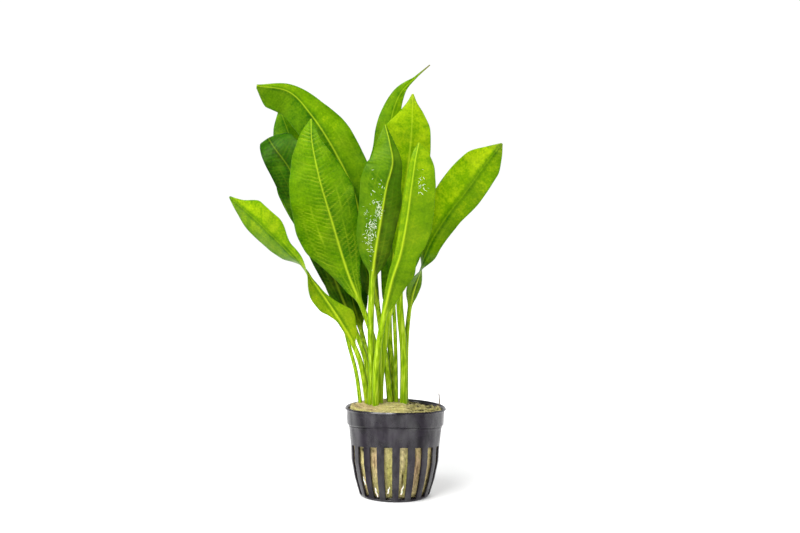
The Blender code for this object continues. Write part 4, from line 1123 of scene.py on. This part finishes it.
# %% Lay the strands
# Each copy lies along the surface at a chance angle and has a chance size
upright = add_node(fuzz_tree, "FunctionNodeAlignRotationToVector", {"Vector": seeds.outputs["Normal"]},
                   axis="Z")
spin = add_node(fuzz_tree, "FunctionNodeRandomValue", {2: 0.0, 3: TURN, "Seed": given["Seed"]},
                data_type="FLOAT")
spin_angles = add_node(fuzz_tree, "ShaderNodeCombineXYZ", {"Z": spin})
spin_turn = add_node(fuzz_tree, "FunctionNodeEulerToRotation", {0: spin_angles})
laid = add_node(fuzz_tree, "FunctionNodeRotateRotation", {0: upright, 1: spin_turn}, rotation_space="LOCAL")
sizes = add_node(fuzz_tree, "FunctionNodeRandomValue", {2: 0.45, 3: 1.3}, data_type="FLOAT")
copies = add_node(fuzz_tree, "GeometryNodeInstanceOnPoints", {
    "Points": seeds, "Instance": strand, "Rotation": laid, "Scale": sizes})
end_tree(fuzz_tree, given, result, copies)

wool_fibres = run_tree(fuzz_tree, wool_body, "wool_fibres", {
    "Density": 1.5 / MM ** 2, "Length": 3.0 * MM, "Thickness": 0.05 * MM, "Seed": 11, "Material": fibre_mat})
join_part(wool_fibres, "wool", "wool_plug")

# %% [markdown]
# ## Pale flecks on two leaves
#
# Hard water has dried on two of the leaves and left small white worm-shaped flecks of lime. They are the
# same short bent strands, thicker, where the leaf's mesh says that they show.

# %% Scatter the flecks
FLECK_SEEDS = {"leaf_centre": 5, "leaf_front_right": 8}

# Dried lime is chalky: matt and nearly white, with the green of the leaf in its thin places
lime = mottled("dried lime flecks, chalky", 1, "#A9BC86", "#EEF2E2", 0.6, Roughness=0.7)
for leaf_name, seed in FLECK_SEEDS.items():
    flecks = run_tree(fuzz_tree, leaves[leaf_name], leaf_name.replace("leaf_", "") + "_flecks", {
        "Density": 2.6 / MM ** 2, "Length": 1.0 * MM, "Thickness": 0.10 * MM, "Seed": seed, "Material": lime})
    join_part(flecks, "leaf", leaf_name)

# %% [markdown]
# ## Roots and the dry stub
#
# A few white root ends lie in the slots, and a thin dead stub stands on the wool at the rim. Each is a
# tapering strand along a smooth line through the same points as its plain solid.

# %% Root and stub materials
# A young root lets light in, so it looks moist; a dead stalk is dull and dark
root_mat = mottled("young root, white and moist", 1.5, "#DDD5BE", "#FBF8EE", 0.6, Roughness=0.45,
                   **{"Subsurface Weight": 0.2, "Subsurface Scale": 0.4 * MM})
stub_mat = mottled("dead stalk, brown and brittle", 0.9, "#2A211A", "#6E5A48", Roughness=0.8)
print("made", root_mat.name, "and", stub_mat.name)

# %% A strand's shape
STRAND_SIDES = 12
STRAND_STATIONS = 40


def make_strand(name, points, radius_at, material):
    """A closed round strand along a smooth line, with a radius for each share of its length."""
    shares = np.linspace(0.0, 1.0, STRAND_STATIONS)
    places, along = walk_line(smooth_line(points), shares)[:2]
    side = np.cross(along, np.array((0.3, 0.9, 0.1)))
    side /= np.linalg.norm(side, axis=1)[:, None]
    other = np.cross(along, side)
    turns = (np.arange(STRAND_SIDES) / STRAND_SIDES * TURN)[None, :, None]
    radius = np.array([radius_at(s) for s in shares])[:, None, None]
    rings = places[:, None, :] + (side[:, None, :] * np.cos(turns) + other[:, None, :] * np.sin(turns)) * radius
    points = np.vstack([rings.reshape(-1, 3), places[:1], places[-1:]])
    return make_piece(name, points, ring_faces(STRAND_STATIONS, STRAND_SIDES), material)


print("a strand has", STRAND_STATIONS, "rings of", STRAND_SIDES, "points")

# %% Lay the roots and stand the stub
# Each root: its slot counted from the front, the heights of its ends, and its lean
ROOTS = {"root_1": (-2, 2.6, 7.4, -1.0), "root_2": (-3, 8.2, 12.4, -0.8),
         "root_3": (-1, 5.0, 8.6, 1.1), "root_4": (1, 4.4, 9.6, 0.9)}
ROOT_RADIUS = 0.42
ROOT_TAPER = 0.45
ROOT_INSET = 0.58
DRY_STALK = [(23.3, 1.6, 47.2), (23.5, 1.8, 50.5), (23.1, 2.0, 54.2)]


def pot_radius(height):
    """The pot's outer radius at this height, read off its skin above the flat of the base."""
    return float(np.interp(height, skin_heights[2:], skin_radii[2:]))


def root_points(slot, low, high, lean):
    """The root's points on the wool inside its slot."""
    middle = math.radians(FRONT + (slot - math.copysign(0.5, slot)) * WEDGE)
    points = []
    for share in np.linspace(0.0, 1.0, 5):
        height = low + (high - low) * share
        radius = pot_radius(height) - ROOT_INSET
        angle = middle + (lean * (share - 0.5) + 0.25 * math.sin(3.0 * math.pi * share)) / radius
        points.append((radius * math.cos(angle), radius * math.sin(angle), height))
    return points


def root_radius(share):
    """A root thins along its length and is rounded off at its end."""
    return ROOT_RADIUS * (1.0 - ROOT_TAPER * share) * min(1.0, 0.3 + 6.0 * (1.0 - share))


def stub_radius(share):
    """The stub thins upwards and has a small knot near its top."""
    return 0.42 - 0.26 * share + 0.12 * bell(share - 0.85, 0.12)


for name, numbers in ROOTS.items():
    join_part(make_strand("white_" + name, root_points(*numbers), root_radius, root_mat), "root", name)
join_part(make_strand("dry_stub", DRY_STALK, stub_radius, stub_mat), "dry_stalk", "dry_stalk")

# %% [markdown]
# ## The rootstock
#
# The rootstock is buried in the wool, and its plain solid is right as it is. It gets the ringed, woody skin
# of a short stem that has shed leaves, for whoever lifts it out.

# %% Rootstock material
bark, tree, shader, place = new_material("rootstock skin, ringed and woody")
rings = add_node(tree, "ShaderNodeTexWave", {"Vector": place, "Scale": 1 / (6 * MM), "Distortion": 4.0,
                                            "Detail": 3.0}, bands_direction="Z").outputs[1]
woody = add_node(tree, "ShaderNodeValToRGB", {0: rings}, [(0.2, "#6F5B33"), (0.8, "#B8A56C")])
relief = add_node(tree, "ShaderNodeBump", {"Strength": 0.5, "Distance": 0.3 * MM, "Height": rings})
set_inputs(tree, shader, {"Base Color": woody, "Normal": relief, "Roughness": 0.75})
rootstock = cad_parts["rootstock"]
rootstock.data.materials.clear()
rootstock.data.materials.append(bark)
print("the rootstock keeps its", len(rootstock.data.polygons), "faces")
